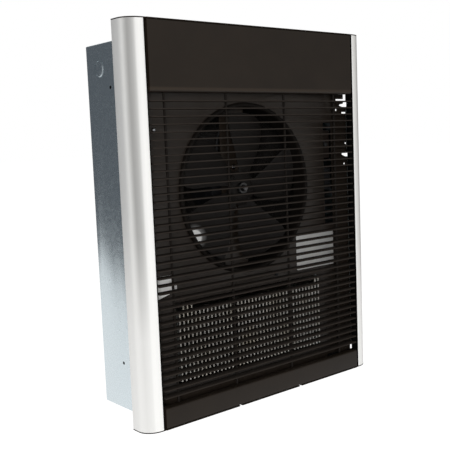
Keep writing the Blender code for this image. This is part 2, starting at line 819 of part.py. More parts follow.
def heating_element():
    """Flanged fins on a rod that runs across, turns back and runs across again."""
    front = panel_h + fin_front
    left = -element_half()
    fin = [
        (left, front),
        (left + fin_flange, front),
        (left + fin_flange, front - fin_thickness),
        (left + fin_thickness, front - fin_thickness),
        (left + fin_thickness, front - fin_depth),
        (left, front - fin_depth),
    ]
    z = (element_z - fin_height / 2, element_z + fin_height / 2)
    fins = outline("heating_element", [fin], "plan", z, fin_metal)
    repeat(fins, fin_count(), (fin_pitch, 0, 0))
    middle = front - fin_depth / 2
    end = element_half() + rod_overhang
    bend = -(element_half() + sheet + 3 * gap)
    turn = arc((bend, 0), (element_rod_offset, element_rod_offset), 90, 270, 8)
    path = [(end, -middle, element_z + element_rod_offset)]
    path += [(x, -middle, element_z + z) for x, z in turn]
    path += [(end, -middle, element_z - element_rod_offset)]
    join(fins, tube("element_rod", path, element_rod_radius, 6, smooth=False))

    span = (z[0] - element_bracket_reach, z[1] + element_bracket_reach)
    for side, word in ((-1, "left"), (1, "right")):
        inner = element_half() + gap
        section = [
            (inner, seat_h),
            (inner + element_bracket_flange, seat_h),
            (inner + element_bracket_flange, seat_h - sheet),
            (inner + sheet, seat_h - sheet),
            (inner + sheet, front - fin_depth),
            (inner, front - fin_depth),
        ]
        section = [(side * x, h) for x, h in section]
        bracket = outline("element_bracket_" + word, [section], "plan", span, galvanised)
        through = (inner - cut_over, inner + cut_over + sheet)
        for offset in (-element_rod_offset, element_rod_offset):
            at = (0, -middle, element_z + offset)
            cut(bracket, rod("rod_hole", element_rod_radius + gap, through, at, word, 12))
    for offset, word in ((element_rod_offset, "upper"), (-element_rod_offset, "lower")):
        start = end + gap
        profile = [
            (0, start + terminal_length),
            (pin_radius, start + terminal_length),
            (pin_radius, start + terminal_length / 2),
            (terminal_radius, start + terminal_length / 2),
            (terminal_radius, start),
            (0, start),
        ]
        turned("element_terminal_" + word, profile, (0, -middle, element_z + offset), "right", 12, porcelain)


def blade_point(u, v, turn):
    """A point of a blade, from root to tip with u in 0 to 1 and across its chord with v in -1 to 1."""
    radius = blade_root_radius + u * (blade_tip_radius - blade_root_radius)
    angle = turn + blade_sweep * u + v * blade_half_angle * (1 - blade_tip_taper * u**6)
    rise = blade_root_rise + (blade_tip_rise - blade_root_rise) * u
    camber = blade_camber * (1 - v * v)
    height = blade_height + rise * (v + camber - blade_drop)
    return (radius * math.cos(angle), radius * math.sin(angle), height)


def fan():
    """Blades on a spider plate, the hub that grips them, and the rotor's shaft, all on the fan's axis."""
    mesh = bpy.data.meshes.new("fan_blades")
    shape = bmesh.new()
    for blade in range(blade_count):
        made = bmesh.ops.create_grid(shape, x_segments=5, y_segments=6, size=1)
        turn = 2 * math.pi * blade / blade_count
        for vert in made["verts"]:
            vert.co = blade_point((vert.co.x + 1) / 2, vert.co.y, turn)
    shape.to_mesh(mesh)
    shape.free()
    blades = place("fan_blades", mesh, fan_paint)
    blades.location = (0, 0, fan_z)
    blades.rotation_euler = directions["front"].to_track_quat("Z", "Y").to_euler()
    skin = blades.modifiers.new("skin", "SOLIDIFY")
    skin.thickness = blade_thickness
    skin.offset = 0
    plate = (blade_height - spider_thickness / 2, blade_height + spider_thickness / 2)
    join(blades, rod("spider", spider_radius, plate, (0, 0, fan_z), "front", 24))
    through = (plate[0] - spider_bore_over, plate[1] + spider_bore_over)
    cut(blades, rod("spider_bore", hub_radius + gap, through, (0, 0, fan_z), "front", 24))
    bore = shaft_radius + gap
    hub = [
        (hub_radius, hub_height[1]),
        (hub_radius, hub_height[0] + hub_flange),
        (hub_flange_radius, hub_height[0] + hub_flange),
        (hub_flange_radius, hub_height[0]),
        (bore, hub_height[0]),
        (bore, hub_height[1]),
    ]
    turned("fan_hub", hub, (0, 0, fan_z), "front", 24, zinc)
    rotor = [
        (0, shaft_height[1]),
        (shaft_radius, shaft_height[1]),
        (shaft_radius, rotor_height[1]),
        (rotor_radius, rotor_height[1]),
        (rotor_radius, rotor_height[0]),
        (shaft_radius, rotor_height[0]),
        (shaft_radius, shaft_height[0]),
        (0, shaft_height[0]),
    ]
    turned("motor_rotor", rotor, (0, 0, fan_z), "front", 24, iron)


def motor():
    """The motor's shell, end bell, stator and bearings, and the strap that carries it behind the fan."""
    at = (0, 0, fan_z)
    bush = bearing_radius + gap
    bush_wall = bush + motor_wall
    inside = motor_radius - motor_wall
    split = motor_rear + end_bell_depth
    lip = motor_top - motor_wall
    housing = [
        (motor_boss_radius, motor_top),
        (motor_boss_radius, motor_front),
        (motor_radius, motor_front),
        (motor_radius, split),
        (inside, split),
        (inside, motor_front - motor_wall),
        (bush_wall, motor_front - motor_wall),
        (bush_wall, lip - bearing_length - gap),
        (bush, lip - bearing_length - gap),
        (bush, lip),
        (shaft_radius + shaft_clear, lip),
        (shaft_radius + shaft_clear, motor_top),
    ]
    shell = turned("motor_housing", housing, at, "front", 24, motor_paint)
    floor = motor_rear + motor_wall
    end_bell = [
        (0, floor),
        (bush, floor),
        (bush, floor + bearing_length + gap),
        (bush_wall, floor + bearing_length + gap),
        (bush_wall, split - gap),
        (motor_radius, split - gap),
        (motor_radius, motor_rear + end_bell_chamfer),
        (motor_radius - end_bell_chamfer, motor_rear),
        (0, motor_rear),
    ]
    turned("motor_end_bell", end_bell, at, "front", 24, motor_paint)
    stator = [
        (inside - gap, stator_height[1]),
        (inside - gap, stator_height[0]),
        (rotor_radius + stator_clearance, stator_height[0]),
        (rotor_radius + stator_clearance, stator_height[1]),
    ]
    turned("motor_stator", stator, at, "front", 24, iron)
    for name, low in (("front_bearing", lip - bearing_length - gap / 2), ("rear_bearing", floor + gap)):
        bearing = [
            (bearing_radius, low + bearing_length),
            (bearing_radius, low),
            (shaft_radius + gap, low),
            (shaft_radius + gap, low + bearing_length),
        ]
        turned(name, bearing, at, "front", 20, bronze_bush)

    rear = motor_front + gap
    front = rear + strap_thickness
    reach = orifice_radius + ring_bead * 2 + strap_clear
    half = [
        (seat_h, reach + strap_foot),
        (seat_h, reach),
        (front, reach),
    ]
    outside = [
        (rear, reach + strap_thickness),
        (seat_h - strap_thickness, reach + strap_thickness),
        (seat_h - strap_thickness, reach + strap_foot),
    ]
    section = half + [(h, -z) for h, z in reversed(half)]
    section += [(h, -z) for h, z in reversed(outside)] + outside
    section = [(h, z + fan_z) for h, z in section]
    strap = outline("motor_bracket", [section], "side", (-strap_width / 2, strap_width / 2), bronze_paint)
    through = (rear - cut_over, front + cut_over)
    cut(strap, rod("boss_hole", motor_boss_radius + gap, through, at, "front", 24))
    for offset, word in ((motor_screw_offset, "upper"), (-motor_screw_offset, "lower")):
        place_of = (0, 0, fan_z + offset)
        cut(strap, rod("strap_hole", screw_radius + gap, through, place_of, "front", 12))
        blind = (front - motor_screw_length - gap, motor_front + cut_over)
        cut(shell, rod("blind_hole", screw_radius + gap, blind, place_of, "front", 12))
        screw("motor_screw_" + word, (0, -front, fan_z + offset), "front", motor_screw_length, zinc)


def seated(name, size, at, base, finish):
    """A block whose back stands on a height."""
    x = (at[0] - size[0] / 2, at[0] + size[0] / 2)
    z = (at[1] - size[2] / 2, at[1] + size[2] / 2)
    return block(name, x, (base, base + size[1]), z, finish)


def controls():
    """The channel behind the control slot, with the thermostat and the disconnect switch in it."""
    plate = control_plate
    left, right = control_x
    channel = [
        (left, seat_h),
        (left, plate),
        (right, plate),
        (right, seat_h),
        (right - sheet, seat_h),
        (right - sheet, plate + sheet),
        (left + sheet, plate + sheet),
        (left + sheet, seat_h),
    ]
    outline("control_bracket", [channel], "plan", control_z, galvanised)

    body = seated("thermostat_body", thermostat_size, thermostat_at, control_front, bakelite)
    face = control_front + thermostat_size[1]
    at = (thermostat_at[0], 0, thermostat_at[1])
    join(body, rod("bush", thermostat_bush_radius, (face - merge, face + thermostat_bush), at, "front", 16))
    bottom = face - dial_shaft_seat
    cut(body, rod("shaft_bore", dial_shaft_radius + gap, (bottom - gap, face + 2 * thermostat_bush),
                  at, "front", 16))
    shaft = rod("thermostat_shaft", dial_shaft_radius, (bottom, dial_shaft_front), at, "front", 16, zinc)
    slot = block("driver_slot", (at[0] - driver_slot_width / 2, at[0] + driver_slot_width / 2),
                 (dial_shaft_front - driver_slot_depth, dial_shaft_front + cut_over),
                 (at[2] - 2 * dial_shaft_radius, at[2] + 2 * dial_shaft_radius))
    cut(shaft, slot)

    body = seated("disconnect_switch_body", switch_size, switch_at, control_front, black_plastic)
    pivot_h = control_front + switch_size[1]
    pivot = (switch_at[0], -pivot_h, switch_at[1])
    half = rocker_width / 2
    pocket = rod("rocker_pocket", rocker_radius + gap, (-half - gap, half + gap), pivot, "right", 24)
    pins = rod("pin_bore", rocker_pin_radius + gap, (-half - rocker_pin - gap, half + rocker_pin + gap),
               pivot, "right", 12)
    bezel = block("bezel", (switch_at[0] - switch_size[0] / 2, switch_at[0] + switch_size[0] / 2),
                  (pivot_h - merge, pivot_h + rocker_pin_radius + gap + bezel_rise),
                  (switch_at[1] - switch_size[2] / 2, switch_at[1] + switch_size[2] / 2))
    join(body, bezel)
    cut(body, pocket, pins)
    return pivot


def switch_rocker(pivot):
    """A rocker that is a round drum below its pins and a shallow V above them, tipped to its on side."""
    edge = math.acos(rocker_proud / rocker_radius)
    dip = rocker_radius * math.sin(edge) * math.tan(rocker_tilt)
    start = math.degrees(edge)
    profile = arc((0, 0), (rocker_radius, rocker_radius), start, 360 - start, 14)
    profile.append((rocker_proud - dip, 0))
    turned_profile = []
    for h, z in profile:
        turned_profile.append(
            (
                h * math.cos(rocker_tilt) - z * math.sin(rocker_tilt),
                h * math.sin(rocker_tilt) + z * math.cos(rocker_tilt),
            )
        )
    half = rocker_width / 2
    rocker = outline("switch_rocker", [turned_profile], "side", (-half, half), black_plastic)
    rocker.location = pivot
    join(rocker, rod("pins", rocker_pin_radius, (-half - rocker_pin, half + rocker_pin), pivot, "right", 12))


def thermal_cutout():
    """A round cut-out on the fan panel's back with its reset button through the panel."""
    x, z = cutout_at
    back = seat_h - cutout_length
    collar = button_collar_radius + gap
    floor = seat_h - button_collar - button_travel - 2 * gap
    profile = [
        (0, floor),
        (collar, floor),
        (collar, seat_h),
        (cutout_radius, seat_h),
        (cutout_radius, back),
        (0, back),
    ]
    body = turned("cutout_body", profile, (x, 0, z), "front", 24, bakelite)
    ears = block("ears", (x - cutout_ear / 2, x + cutout_ear / 2), (seat_h - cutout_ear_thickness, seat_h),
                 (z - cutout_ear_width / 2, z + cutout_ear_width / 2))
    bore = rod("collar_bore", collar, (floor, seat_h + cut_over), (x, 0, z), "front", 24)
    join(body, ears)
    cut(body, bore)
    top = panel_h + button_proud
    button = [
        (0, top),
        (button_radius, top),
        (button_radius, seat_h - gap),
        (button_collar_radius, seat_h - gap),
        (button_collar_radius, seat_h - gap - button_collar),
        (0, seat_h - gap - button_collar),
    ]
    turned("reset_button", button, (x, 0, z), "front", 16, black_plastic)


def wiring():
    """The relay, the terminal block, and the leads between them, each ending against what it feeds."""
    relay_base = seat_h - relay_size[1]
    seated("fan_delay_relay", relay_size, relay_at, relay_base, black_plastic)
    block_base = seat_h - terminal_block_size[1]
    seated("terminal_block", terminal_block_size, terminal_block_at, block_base, bakelite)
    block_low = terminal_block_at[1] - terminal_block_size[2] / 2 - gap
    block_left = terminal_block_at[0] - terminal_block_size[0] / 2 - gap
    lead_h = block_base + terminal_block_size[1] / 2
    thermostat_top = thermostat_at[1] + thermostat_size[2] / 2 + gap
    thermostat_low = thermostat_at[1] - thermostat_size[2] / 2 - gap
    thermostat_h = control_front + thermostat_size[1] / 2
    switch_top = switch_at[1] + switch_size[2] / 2 + gap
    switch_low = switch_at[1] - switch_size[2] / 2 - gap
    switch_left = switch_at[0] - switch_size[0] / 2 - gap
    relay_top = relay_at[1] + relay_size[2] / 2 + gap
    relay_low = relay_at[1] - relay_size[2] / 2 - gap
    relay_left = relay_at[0] - relay_size[0] / 2 - gap
    relay_h = relay_base + relay_size[1] / 2

    def lead(name, points, finish):
        tube(name, [(x, -h, z) for x, h, z in points], lead_radius, 6, finish)

    x = terminal_block_at[0]
    lead("lead_line", [
        (x + 6 * mm, lead_h, block_low),
        (x + 6 * mm, lead_h, block_low - 8 * mm),
        (thermostat_at[0] - 10 * mm, thermostat_h + 2 * mm, control_z[1] + 10 * mm),
        (thermostat_at[0] + 4 * mm, thermostat_h + 2 * mm, thermostat_top + 18 * mm),
        (thermostat_at[0] + 4 * mm, thermostat_h, thermostat_top),
    ], black_wire)
    between = control_x[0] + sheet + 4 * mm
    lead("lead_neutral", [
        (x - 4 * mm, lead_h, block_low),
        (x - 4 * mm, lead_h, block_low - 8 * mm),
        (between, thermostat_h, control_z[1] + 6 * mm),
        (between, thermostat_h, thermostat_top + 10 * mm),
        (between, thermostat_h, thermostat_at[1]),
        (between, thermostat_h, thermostat_low - 6 * mm),
        (switch_left - 6 * mm, thermostat_h, switch_at[1]),
        (switch_left, thermostat_h, switch_at[1]),
    ], white_wire)
    lead("lead_thermostat", [
        (switch_at[0] - 4 * mm, thermostat_h, thermostat_low),
        (switch_at[0] - 4 * mm, thermostat_h, thermostat_low - 3 * mm),
        (switch_at[0], thermostat_h, switch_top + 3 * mm),
        (switch_at[0], thermostat_h, switch_top),
    ], black_wire)
    lead("lead_switch", [
        (switch_at[0] - 3 * mm, thermostat_h, switch_low),
        (switch_at[0] - 3 * mm, thermostat_h, switch_low - 16 * mm),
        (relay_at[0], relay_h, relay_top + 20 * mm),
        (relay_at[0], relay_h, relay_top),
    ], black_wire)
    ring = orifice_radius + sheet
    motor_lead_h = stator_height[0]
    lead("lead_motor", [
        (block_left, lead_h, terminal_block_at[1]),
        (block_left - 12 * mm, lead_h, terminal_block_at[1]),
        (60 * mm, motor_front - 8 * mm, fan_z + ring + 22 * mm),
        (22 * mm, motor_lead_h + 4 * mm, fan_z + ring),
        (4 * mm, motor_lead_h, fan_z + motor_radius + 36 * mm),
        (0, motor_lead_h, fan_z + motor_radius + 16 * mm),
        (0, motor_lead_h, fan_z + motor_radius + gap),
    ], white_wire)
    pin_x = element_half() + rod_overhang + gap + terminal_length - 3 * mm
    pin_h = panel_h + fin_front - fin_depth / 2
    pin_top = element_z + element_rod_offset + pin_radius + gap
    lead("lead_element", [
        (pin_x, relay_h, relay_low),
        (pin_x, relay_h, relay_low - 8 * mm),
        (pin_x, pin_h, pin_top + 8 * mm),
        (pin_x, pin_h, pin_top),
    ], black_wire)
    lead("lead_cutout", [
        (cutout_at[0] + cutout_radius + gap, seat_h - cutout_length + 4 * mm, cutout_at[1]),
        (cutout_at[0] + cutout_radius + 14 * mm, seat_h - cutout_length + 4 * mm, cutout_at[1]),
        (relay_left - 14 * mm, relay_h, relay_at[1]),
        (relay_left, relay_h, relay_at[1]),
    ], white_wire)


def labels():
    """The bare plate and the small bare tag on the fan panel's face."""
    h = (panel_h + gap, panel_h + gap + plate_thickness)
    block("rating_plate", plate_x, h, plate_z, white_card)
    tag = [
        (tag_x[0], tag_z[1]),
        (tag_x[1], tag_z[1]),
        (tag_x[1], tag_z[0] + tag_slant),
        (tag_x[0], tag_z[0]),
    ]
    outline("blank_tag", [tag], "front", h, white_card)


def discharge_baffle():
    """A bent sheet that turns the air forward, from the box's back to the foot of the fins."""
    low = element_z - fin_height / 2 - baffle_drop
    back = sheet + gap
    front = panel_h + fin_front - fin_depth - gap
    half = element_half()
    centre = (back + baffle_rise, low + baffle_rise)
    inner = baffle_rise - sheet
    section = arc(centre, (baffle_rise, baffle_rise), 180, 270, 6)
    section += [(front, low), (front, low + sheet)]
    section += arc(centre, (inner, inner), 270, 180, 6)
    outline("discharge_baffle", [section], "side", (-half, half), galvanised)


def ground_screw():
    x, z = ground_screw_at
    at = (x, -sheet, z)
    screw("ground_screw", at, "front", sheet - gap, green_paint, head=ground_head_radius)


wall_box()
front_cover()
bar_grille()
mounting_frame()
fan_panel()
orifice_ring()
heating_element()
fan()
motor()
switch_rocker(controls())
thermal_cutout()
wiring()
labels()
discharge_baffle()
ground_screw()
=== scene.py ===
# Recessed wall heater: fine shapes, finishes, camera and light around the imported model.
# Shapes are worked out in millimetres as (x, h, z), where h is the height above the wall box's back face,
# so the front of the heater faces +h, which is the world's -Y.
import math
import bmesh
import bpy
import numpy as np
from mathutils import Matrix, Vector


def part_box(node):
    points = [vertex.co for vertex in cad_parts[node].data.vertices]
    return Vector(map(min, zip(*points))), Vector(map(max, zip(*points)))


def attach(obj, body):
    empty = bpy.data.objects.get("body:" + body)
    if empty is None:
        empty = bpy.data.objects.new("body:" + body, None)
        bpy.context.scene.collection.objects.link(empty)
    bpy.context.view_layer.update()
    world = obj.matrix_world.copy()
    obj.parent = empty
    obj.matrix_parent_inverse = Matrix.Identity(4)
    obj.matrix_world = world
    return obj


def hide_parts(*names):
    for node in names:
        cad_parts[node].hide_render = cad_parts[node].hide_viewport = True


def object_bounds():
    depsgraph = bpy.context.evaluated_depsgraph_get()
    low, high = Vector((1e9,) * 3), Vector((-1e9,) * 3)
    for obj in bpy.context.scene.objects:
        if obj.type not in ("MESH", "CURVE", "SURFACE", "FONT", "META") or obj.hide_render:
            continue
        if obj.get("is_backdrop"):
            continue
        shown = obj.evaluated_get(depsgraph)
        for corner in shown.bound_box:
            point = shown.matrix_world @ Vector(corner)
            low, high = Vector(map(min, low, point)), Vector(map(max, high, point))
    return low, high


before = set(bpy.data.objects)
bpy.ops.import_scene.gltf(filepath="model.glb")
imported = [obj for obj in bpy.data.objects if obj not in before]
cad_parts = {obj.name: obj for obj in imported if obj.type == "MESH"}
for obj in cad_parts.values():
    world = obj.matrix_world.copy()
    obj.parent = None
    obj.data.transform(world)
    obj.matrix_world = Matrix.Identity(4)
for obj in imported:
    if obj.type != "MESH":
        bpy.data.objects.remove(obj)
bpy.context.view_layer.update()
tau = 2 * math.pi
print("model loaded:", len(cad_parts), "nodes")


def spanOf(node):
    # the node's spans along x, h and z in millimetres
    low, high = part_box(node)
    return (low.x * 1000, high.x * 1000), (-high.y * 1000, -low.y * 1000), (low.z * 1000, high.z * 1000)


def middle(span):
    # half the sum of a span's two ends
    return (span[0] + span[1]) / 2


def camel(node):
    # wall_box becomes WallBox
    return node.title().replace("_", "")


def offsets(x, h, z):
    # rows of (x, h, z) from arrays or plain numbers
    return np.stack(np.broadcast_arrays(x, h, z), 1)


# Shapes

# the radius at which the profile of a solid starts and ends, so that it closes round its axis
pole = 0.02


class Form:
    # points as rows of (x, h, z), and polygons in blocks that share a count of sides
    def __init__(self, points, *blocks):
        self.points = np.asarray(points, float).reshape(-1, 3)
        self.blocks = [np.asarray(block, int) for block in blocks]

    def __add__(self, other):
        return total((self, other))

    def moved(self, x=0, h=0, z=0):
        # every point plus one offset
        return Form(self.points + (x, h, z), *self.blocks)

    def copies(self, places):
        # one copy at each place, added to the points, which are rows of (x, h, z)
        places = np.asarray(places, float)
        points = (self.points[None] + places[:, None]).reshape(-1, 3)
        shift = np.arange(len(places)) * len(self.points)
        blocks = [(block[None] + shift[:, None, None]).reshape(-1, block.shape[1]) for block in self.blocks]
        return Form(points, *blocks)

    def spun(self, angle, centre=(0, 0)):
        # turned about a front-facing axis through centre, (x, z), by the cosine and sine of the angle
        x, h, z = self.points.T
        c, s = math.cos(angle), math.sin(angle)
        dx, dz = x - centre[0], z - centre[1]
        return Form(np.stack((centre[0] + dx * c - dz * s, h, centre[1] + dx * s + dz * c), 1), *self.blocks)

    def mirrored(self):
        # x changes its sign
        return Form(self.points * (-1, 1, 1), *self.blocks)

    def aimed(self, direction, at=(0, 0, 0)):
        # the shape's h axis turned to face a direction, and its origin put at a point
        x, h, z = self.points.T
        turns = {"front": (x, h, z), "back": (-x, -h, z), "left": (-h, x, z), "right": (h, -x, z),
                 "up": (x, -z, h), "down": (x, z, -h)}
        return Form(np.stack(turns[direction], 1) + at, *self.blocks)


def total(forms):
    # many shapes as one
    forms = list(forms)
    starts = np.cumsum([0] + [len(form.points) for form in forms[:-1]])
    blocks = [block + start for form, start in zip(forms, starts) for block in form.blocks]
    return Form(np.vstack([form.points for form in forms]), *blocks)


def loft(rings, loop=False, caps=True):
    # quads between neighbouring closed rings, an array of rings by points by 3, with flat ends
    rings = np.asarray(rings, float)
    index = np.arange(rings.shape[0] * rings.shape[1]).reshape(rings.shape[:2])
    rows = np.vstack((index, index[:1])) if loop else index
    across = np.roll(rows, -1, axis=1)
    quads = np.stack((rows[:-1], rows[1:], across[1:], across[:-1]), -1).reshape(-1, 4)
    ends = [] if loop or not caps else [index[:1], index[-1:]]
    return Form(rings, quads, *ends)


def arc(centre, radii, start, end, steps):
    # points of an ellipse: centre plus radius times cosine and sine of evenly spaced angles, in degrees
    a = np.radians(np.linspace(start, end, steps + 1))
    return np.stack((centre[0] + radii[0] * np.cos(a), centre[1] + radii[1] * np.sin(a)), 1)


def circle(centre, radius, sides=40):
    # a closed polygon whose corners stand evenly on a circle
    return arc(centre, (radius, radius), 0, 360 * (1 - 1 / sides), sides - 1)


def box2d(a, b):
    # the four corners of a rectangle over two spans
    return np.array([(a[0], b[0]), (a[1], b[0]), (a[1], b[1]), (a[0], b[1])], float)


def roundedRect(halfA, halfB, radius, steps=4):
    # a rectangle about the origin whose corners are quarter circles: each corner's centre plus radius times
    # cosine and sine of its quarter turn
    radius = min(radius, halfA * 0.999, halfB * 0.999)
    signs = np.repeat(np.array([(1, 1), (-1, 1), (-1, -1), (1, -1)]), steps + 1, axis=0)
    a = np.radians((np.arange(4)[:, None] * 90 + np.linspace(0, 90, steps + 1)[None]).ravel())
    return signs * (halfA - radius, halfB - radius) + radius * np.stack((np.cos(a), np.sin(a)), 1)


def eased(line, radius, closed=False, steps=4):
    # a line whose corners become arcs that touch both sides: along the arc the direction from its centre
    # is the spherical mean of the directions to the two touching points
    line = np.asarray(line, float)
    out = []
    for i, here in enumerate(line):
        if not closed and i in (0, len(line) - 1):
            out.append(here[None])
            continue
        u, w = line[i - 1] - here, line[(i + 1) % len(line)] - here
        lengthU, lengthW = np.linalg.norm(u), np.linalg.norm(w)
        u, w = u / lengthU, w / lengthW
        half = math.acos(max(-1, min(1, float(u @ w)))) / 2
        if half > math.radians(78):
            out.append(here[None])
            continue
        reach = min(radius / math.tan(half), 0.48 * lengthU, 0.48 * lengthW)
        centre = here + (u + w) / np.linalg.norm(u + w) * reach / math.cos(half)
        start, end = here + u * reach - centre, here + w * reach - centre
        swing = math.pi - 2 * half
        t = np.linspace(0, 1, steps + 1)[:, None]
        out.append(centre + (np.sin((1 - t) * swing) * start + np.sin(t * swing) * end) / math.sin(swing))
    return np.vstack(out)


def placed(section, value, along):
    # a flat section as a ring across one axis; its columns are the other two axes in their order
    return np.insert(np.asarray(section, float), "xhz".index(along), value, axis=1)


def extruded(section, span, along):
    # a closed section carried straight along an axis
    return loft([placed(section, value, along) for value in span])


def bentSheet(line, thickness, radius, span, along, rim=0.2, steps=5):
    # a folded sheet: each side lies half a thickness from the eased middle line, carried along an axis,
    # a little thinner at both ends so that its cut edges are rounded
    path = eased(line, radius, steps=steps)
    step = np.gradient(path, axis=0)
    step /= np.linalg.norm(step, axis=1)[:, None]
    normal = np.stack((-step[:, 1], step[:, 0]), 1) / 2
    rings = []
    for value, thick in ((span[0], thickness - 2 * rim), (span[0] + rim, thickness),
                         (span[1] - rim, thickness), (span[1], thickness - 2 * rim)):
        rings.append(placed(np.vstack((path + normal * thick, (path - normal * thick)[::-1])), value, along))
    return loft(rings)


def turned(profile, at=(0, 0, 0), direction="front", sides=64, loop=False):
    # a profile of (radius, height) carried round the axis it faces: radius times cosine and sine of the turn
    profile = np.asarray(profile, float)
    a = np.arange(sides) * tau / sides
    height = np.repeat(profile[:, 1:], sides, axis=1)
    rings = np.stack((profile[:, :1] * np.cos(a), height, profile[:, :1] * np.sin(a)), -1)
    return loft(rings, loop=loop).aimed(direction, at)


def tube(path, radius, sides=14):
    # a circle carried along a path, its frames held by the direction that the path runs along least
    path = np.asarray(path, float)
    step = np.gradient(path, axis=0)
    step /= np.linalg.norm(step, axis=1)[:, None]
    steady = np.linalg.eigh(step.T @ step)[1][:, 0]
    side = np.cross(step, steady)
    side /= np.linalg.norm(side, axis=1)[:, None]
    rise = np.cross(side, step)
    a = (np.arange(sides) * tau / sides)[None, :, None]
    return loft(path[:, None] + radius * (np.cos(a) * side[:, None] + np.sin(a) * rise[:, None]))


def block(x, h, z, radius=0.5, corner=None, steps=3):
    # a box over three spans: rounded rectangles whose inset follows a quarter circle at both ends
    corner = max(corner or radius, radius * 1.001)
    low = arc((radius, h[0] + radius), (radius, radius), 270, 180, steps)
    high = arc((radius, h[1] - radius), (radius, radius), 180, 90, steps)
    rings = []
    for inset, height in np.vstack((low, high)):
        ring = roundedRect((x[1] - x[0]) / 2 - inset, (z[1] - z[0]) / 2 - inset, corner - inset)
        rings.append(placed(ring + (middle(x), middle(z)), height, "h"))
    return loft(rings)


def readMesh(mesh):
    # the points and the polygons of a mesh as arrays, grouped by their count of sides
    points = np.zeros(len(mesh.vertices) * 3)
    mesh.vertices.foreach_get("co", points)
    corners = np.zeros(len(mesh.loops), int)
    mesh.loops.foreach_get("vertex_index", corners)
    starts = np.zeros(len(mesh.polygons), int)
    mesh.polygons.foreach_get("loop_start", starts)
    sides = np.diff(np.append(starts, len(corners)))
    blocks = [corners[starts[sides == n][:, None] + np.arange(n)] for n in np.unique(sides)]
    return points.reshape(-1, 3), blocks


def plate(loops, span, along="h", rim=0.15):
    # flat outlines, the first around the others, filled over a span with rounded rims
    curve = bpy.data.curves.new("plateLine", "CURVE")
    curve.dimensions = "2D"
    curve.fill_mode = "BOTH"
    curve.extrude = (span[1] - span[0]) / 2 - rim
    curve.bevel_depth = rim
    curve.bevel_resolution = 1
    curve.offset = -rim
    for line in loops:
        spline = curve.splines.new("POLY")
        spline.points.add(len(line) - 1)
        flat = np.zeros((len(line), 4), np.float32)
        flat[:, :2] = line
        flat[:, 3] = 1
        spline.points.foreach_set("co", flat.ravel())
        spline.use_cyclic_u = True
    guide = bpy.data.objects.new("plateLine", curve)
    bpy.context.scene.collection.objects.link(guide)
    graph = bpy.context.evaluated_depsgraph_get()
    mesh = bpy.data.meshes.new_from_object(guide.evaluated_get(graph))
    bpy.data.objects.remove(guide)
    bpy.data.curves.remove(curve)
    points, blocks = readMesh(mesh)
    bpy.data.meshes.remove(mesh)
    columns = [points[:, 0], points[:, 1]]
    columns.insert("xhz".index(along), points[:, 2] + middle(span))
    return Form(np.stack(columns, 1), *blocks)


def makeMesh(name, form):
    # the mesh of a form in metres and world axes, its doubles merged and its faces pointing out
    points = form.points * (0.001, -0.001, 0.001)
    corners = np.concatenate([block.ravel() for block in form.blocks]).astype(np.int32)
    sides = np.concatenate([np.full(len(block), block.shape[1]) for block in form.blocks])
    mesh = bpy.data.meshes.new(name)
    mesh.vertices.add(len(points))
    mesh.vertices.foreach_set("co", points.astype(np.float32).ravel())
    mesh.loops.add(len(corners))
    mesh.loops.foreach_set("vertex_index", corners)
    mesh.polygons.add(len(sides))
    mesh.polygons.foreach_set("loop_start", (np.cumsum(sides) - sides).astype(np.int32))
    mesh.update(calc_edges=True)
    edit = bmesh.new()
    edit.from_mesh(mesh)
    bmesh.ops.remove_doubles(edit, verts=edit.verts, dist=0.000001)
    bmesh.ops.dissolve_degenerate(edit, edges=edit.edges, dist=0.0000005)
    bmesh.ops.recalc_face_normals(edit, faces=edit.faces)
    edit.to_mesh(mesh)
    edit.free()
    return mesh


def makePiece(name, form, finish, body="heater", instead=(), crease=32):
    # a finished piece that rides on a body and stands for plain solids of the model
    mesh = makeMesh(name, form)
    mesh.shade_smooth()
    mesh.set_sharp_from_angle(angle=math.radians(crease))
    mesh.materials.append(finish)
    piece = bpy.data.objects.new(name, mesh)
    bpy.context.scene.collection.objects.link(piece)
    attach(piece, body)
    if instead:
        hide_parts(*instead)
    return piece


def carve(piece, form, crease=32):
    # cuts a form out of a piece at once
    cutter = bpy.data.objects.new("cutter", makeMesh("cutter", form))
    bpy.context.scene.collection.objects.link(cutter)
    step = piece.modifiers.new("cut", "BOOLEAN")
    step.operation = "DIFFERENCE"
    step.solver = "EXACT"
    step.use_self = True
    step.object = cutter
    graph = bpy.context.evaluated_depsgraph_get()
    mesh = bpy.data.meshes.new_from_object(piece.evaluated_get(graph))
    piece.modifiers.clear()
    old = piece.data
    piece.data = mesh
    bpy.data.meshes.remove(old)
    bpy.data.meshes.remove(cutter.data)
    mesh.name = piece.name
    mesh.shade_smooth()
    mesh.set_sharp_from_angle(angle=math.radians(crease))


# Finishes

class Value:
    # a socket whose operators add Math nodes
    def __init__(self, look, socket):
        self.look = look
        self.socket = socket

    def math(self, operation, first, second):
        # one Math node on two values
        return self.look.node("Math", {"operation": operation}, {0: first, 1: second})

    def __add__(self, other):
        return self.math("ADD", self, other)

    def __sub__(self, other):
        return self.math("SUBTRACT", self, other)

    def __rsub__(self, other):
        return self.math("SUBTRACT", other, self)

    def __mul__(self, other):
        return self.math("MULTIPLY", self, other)

    __radd__ = __add__
    __rmul__ = __mul__


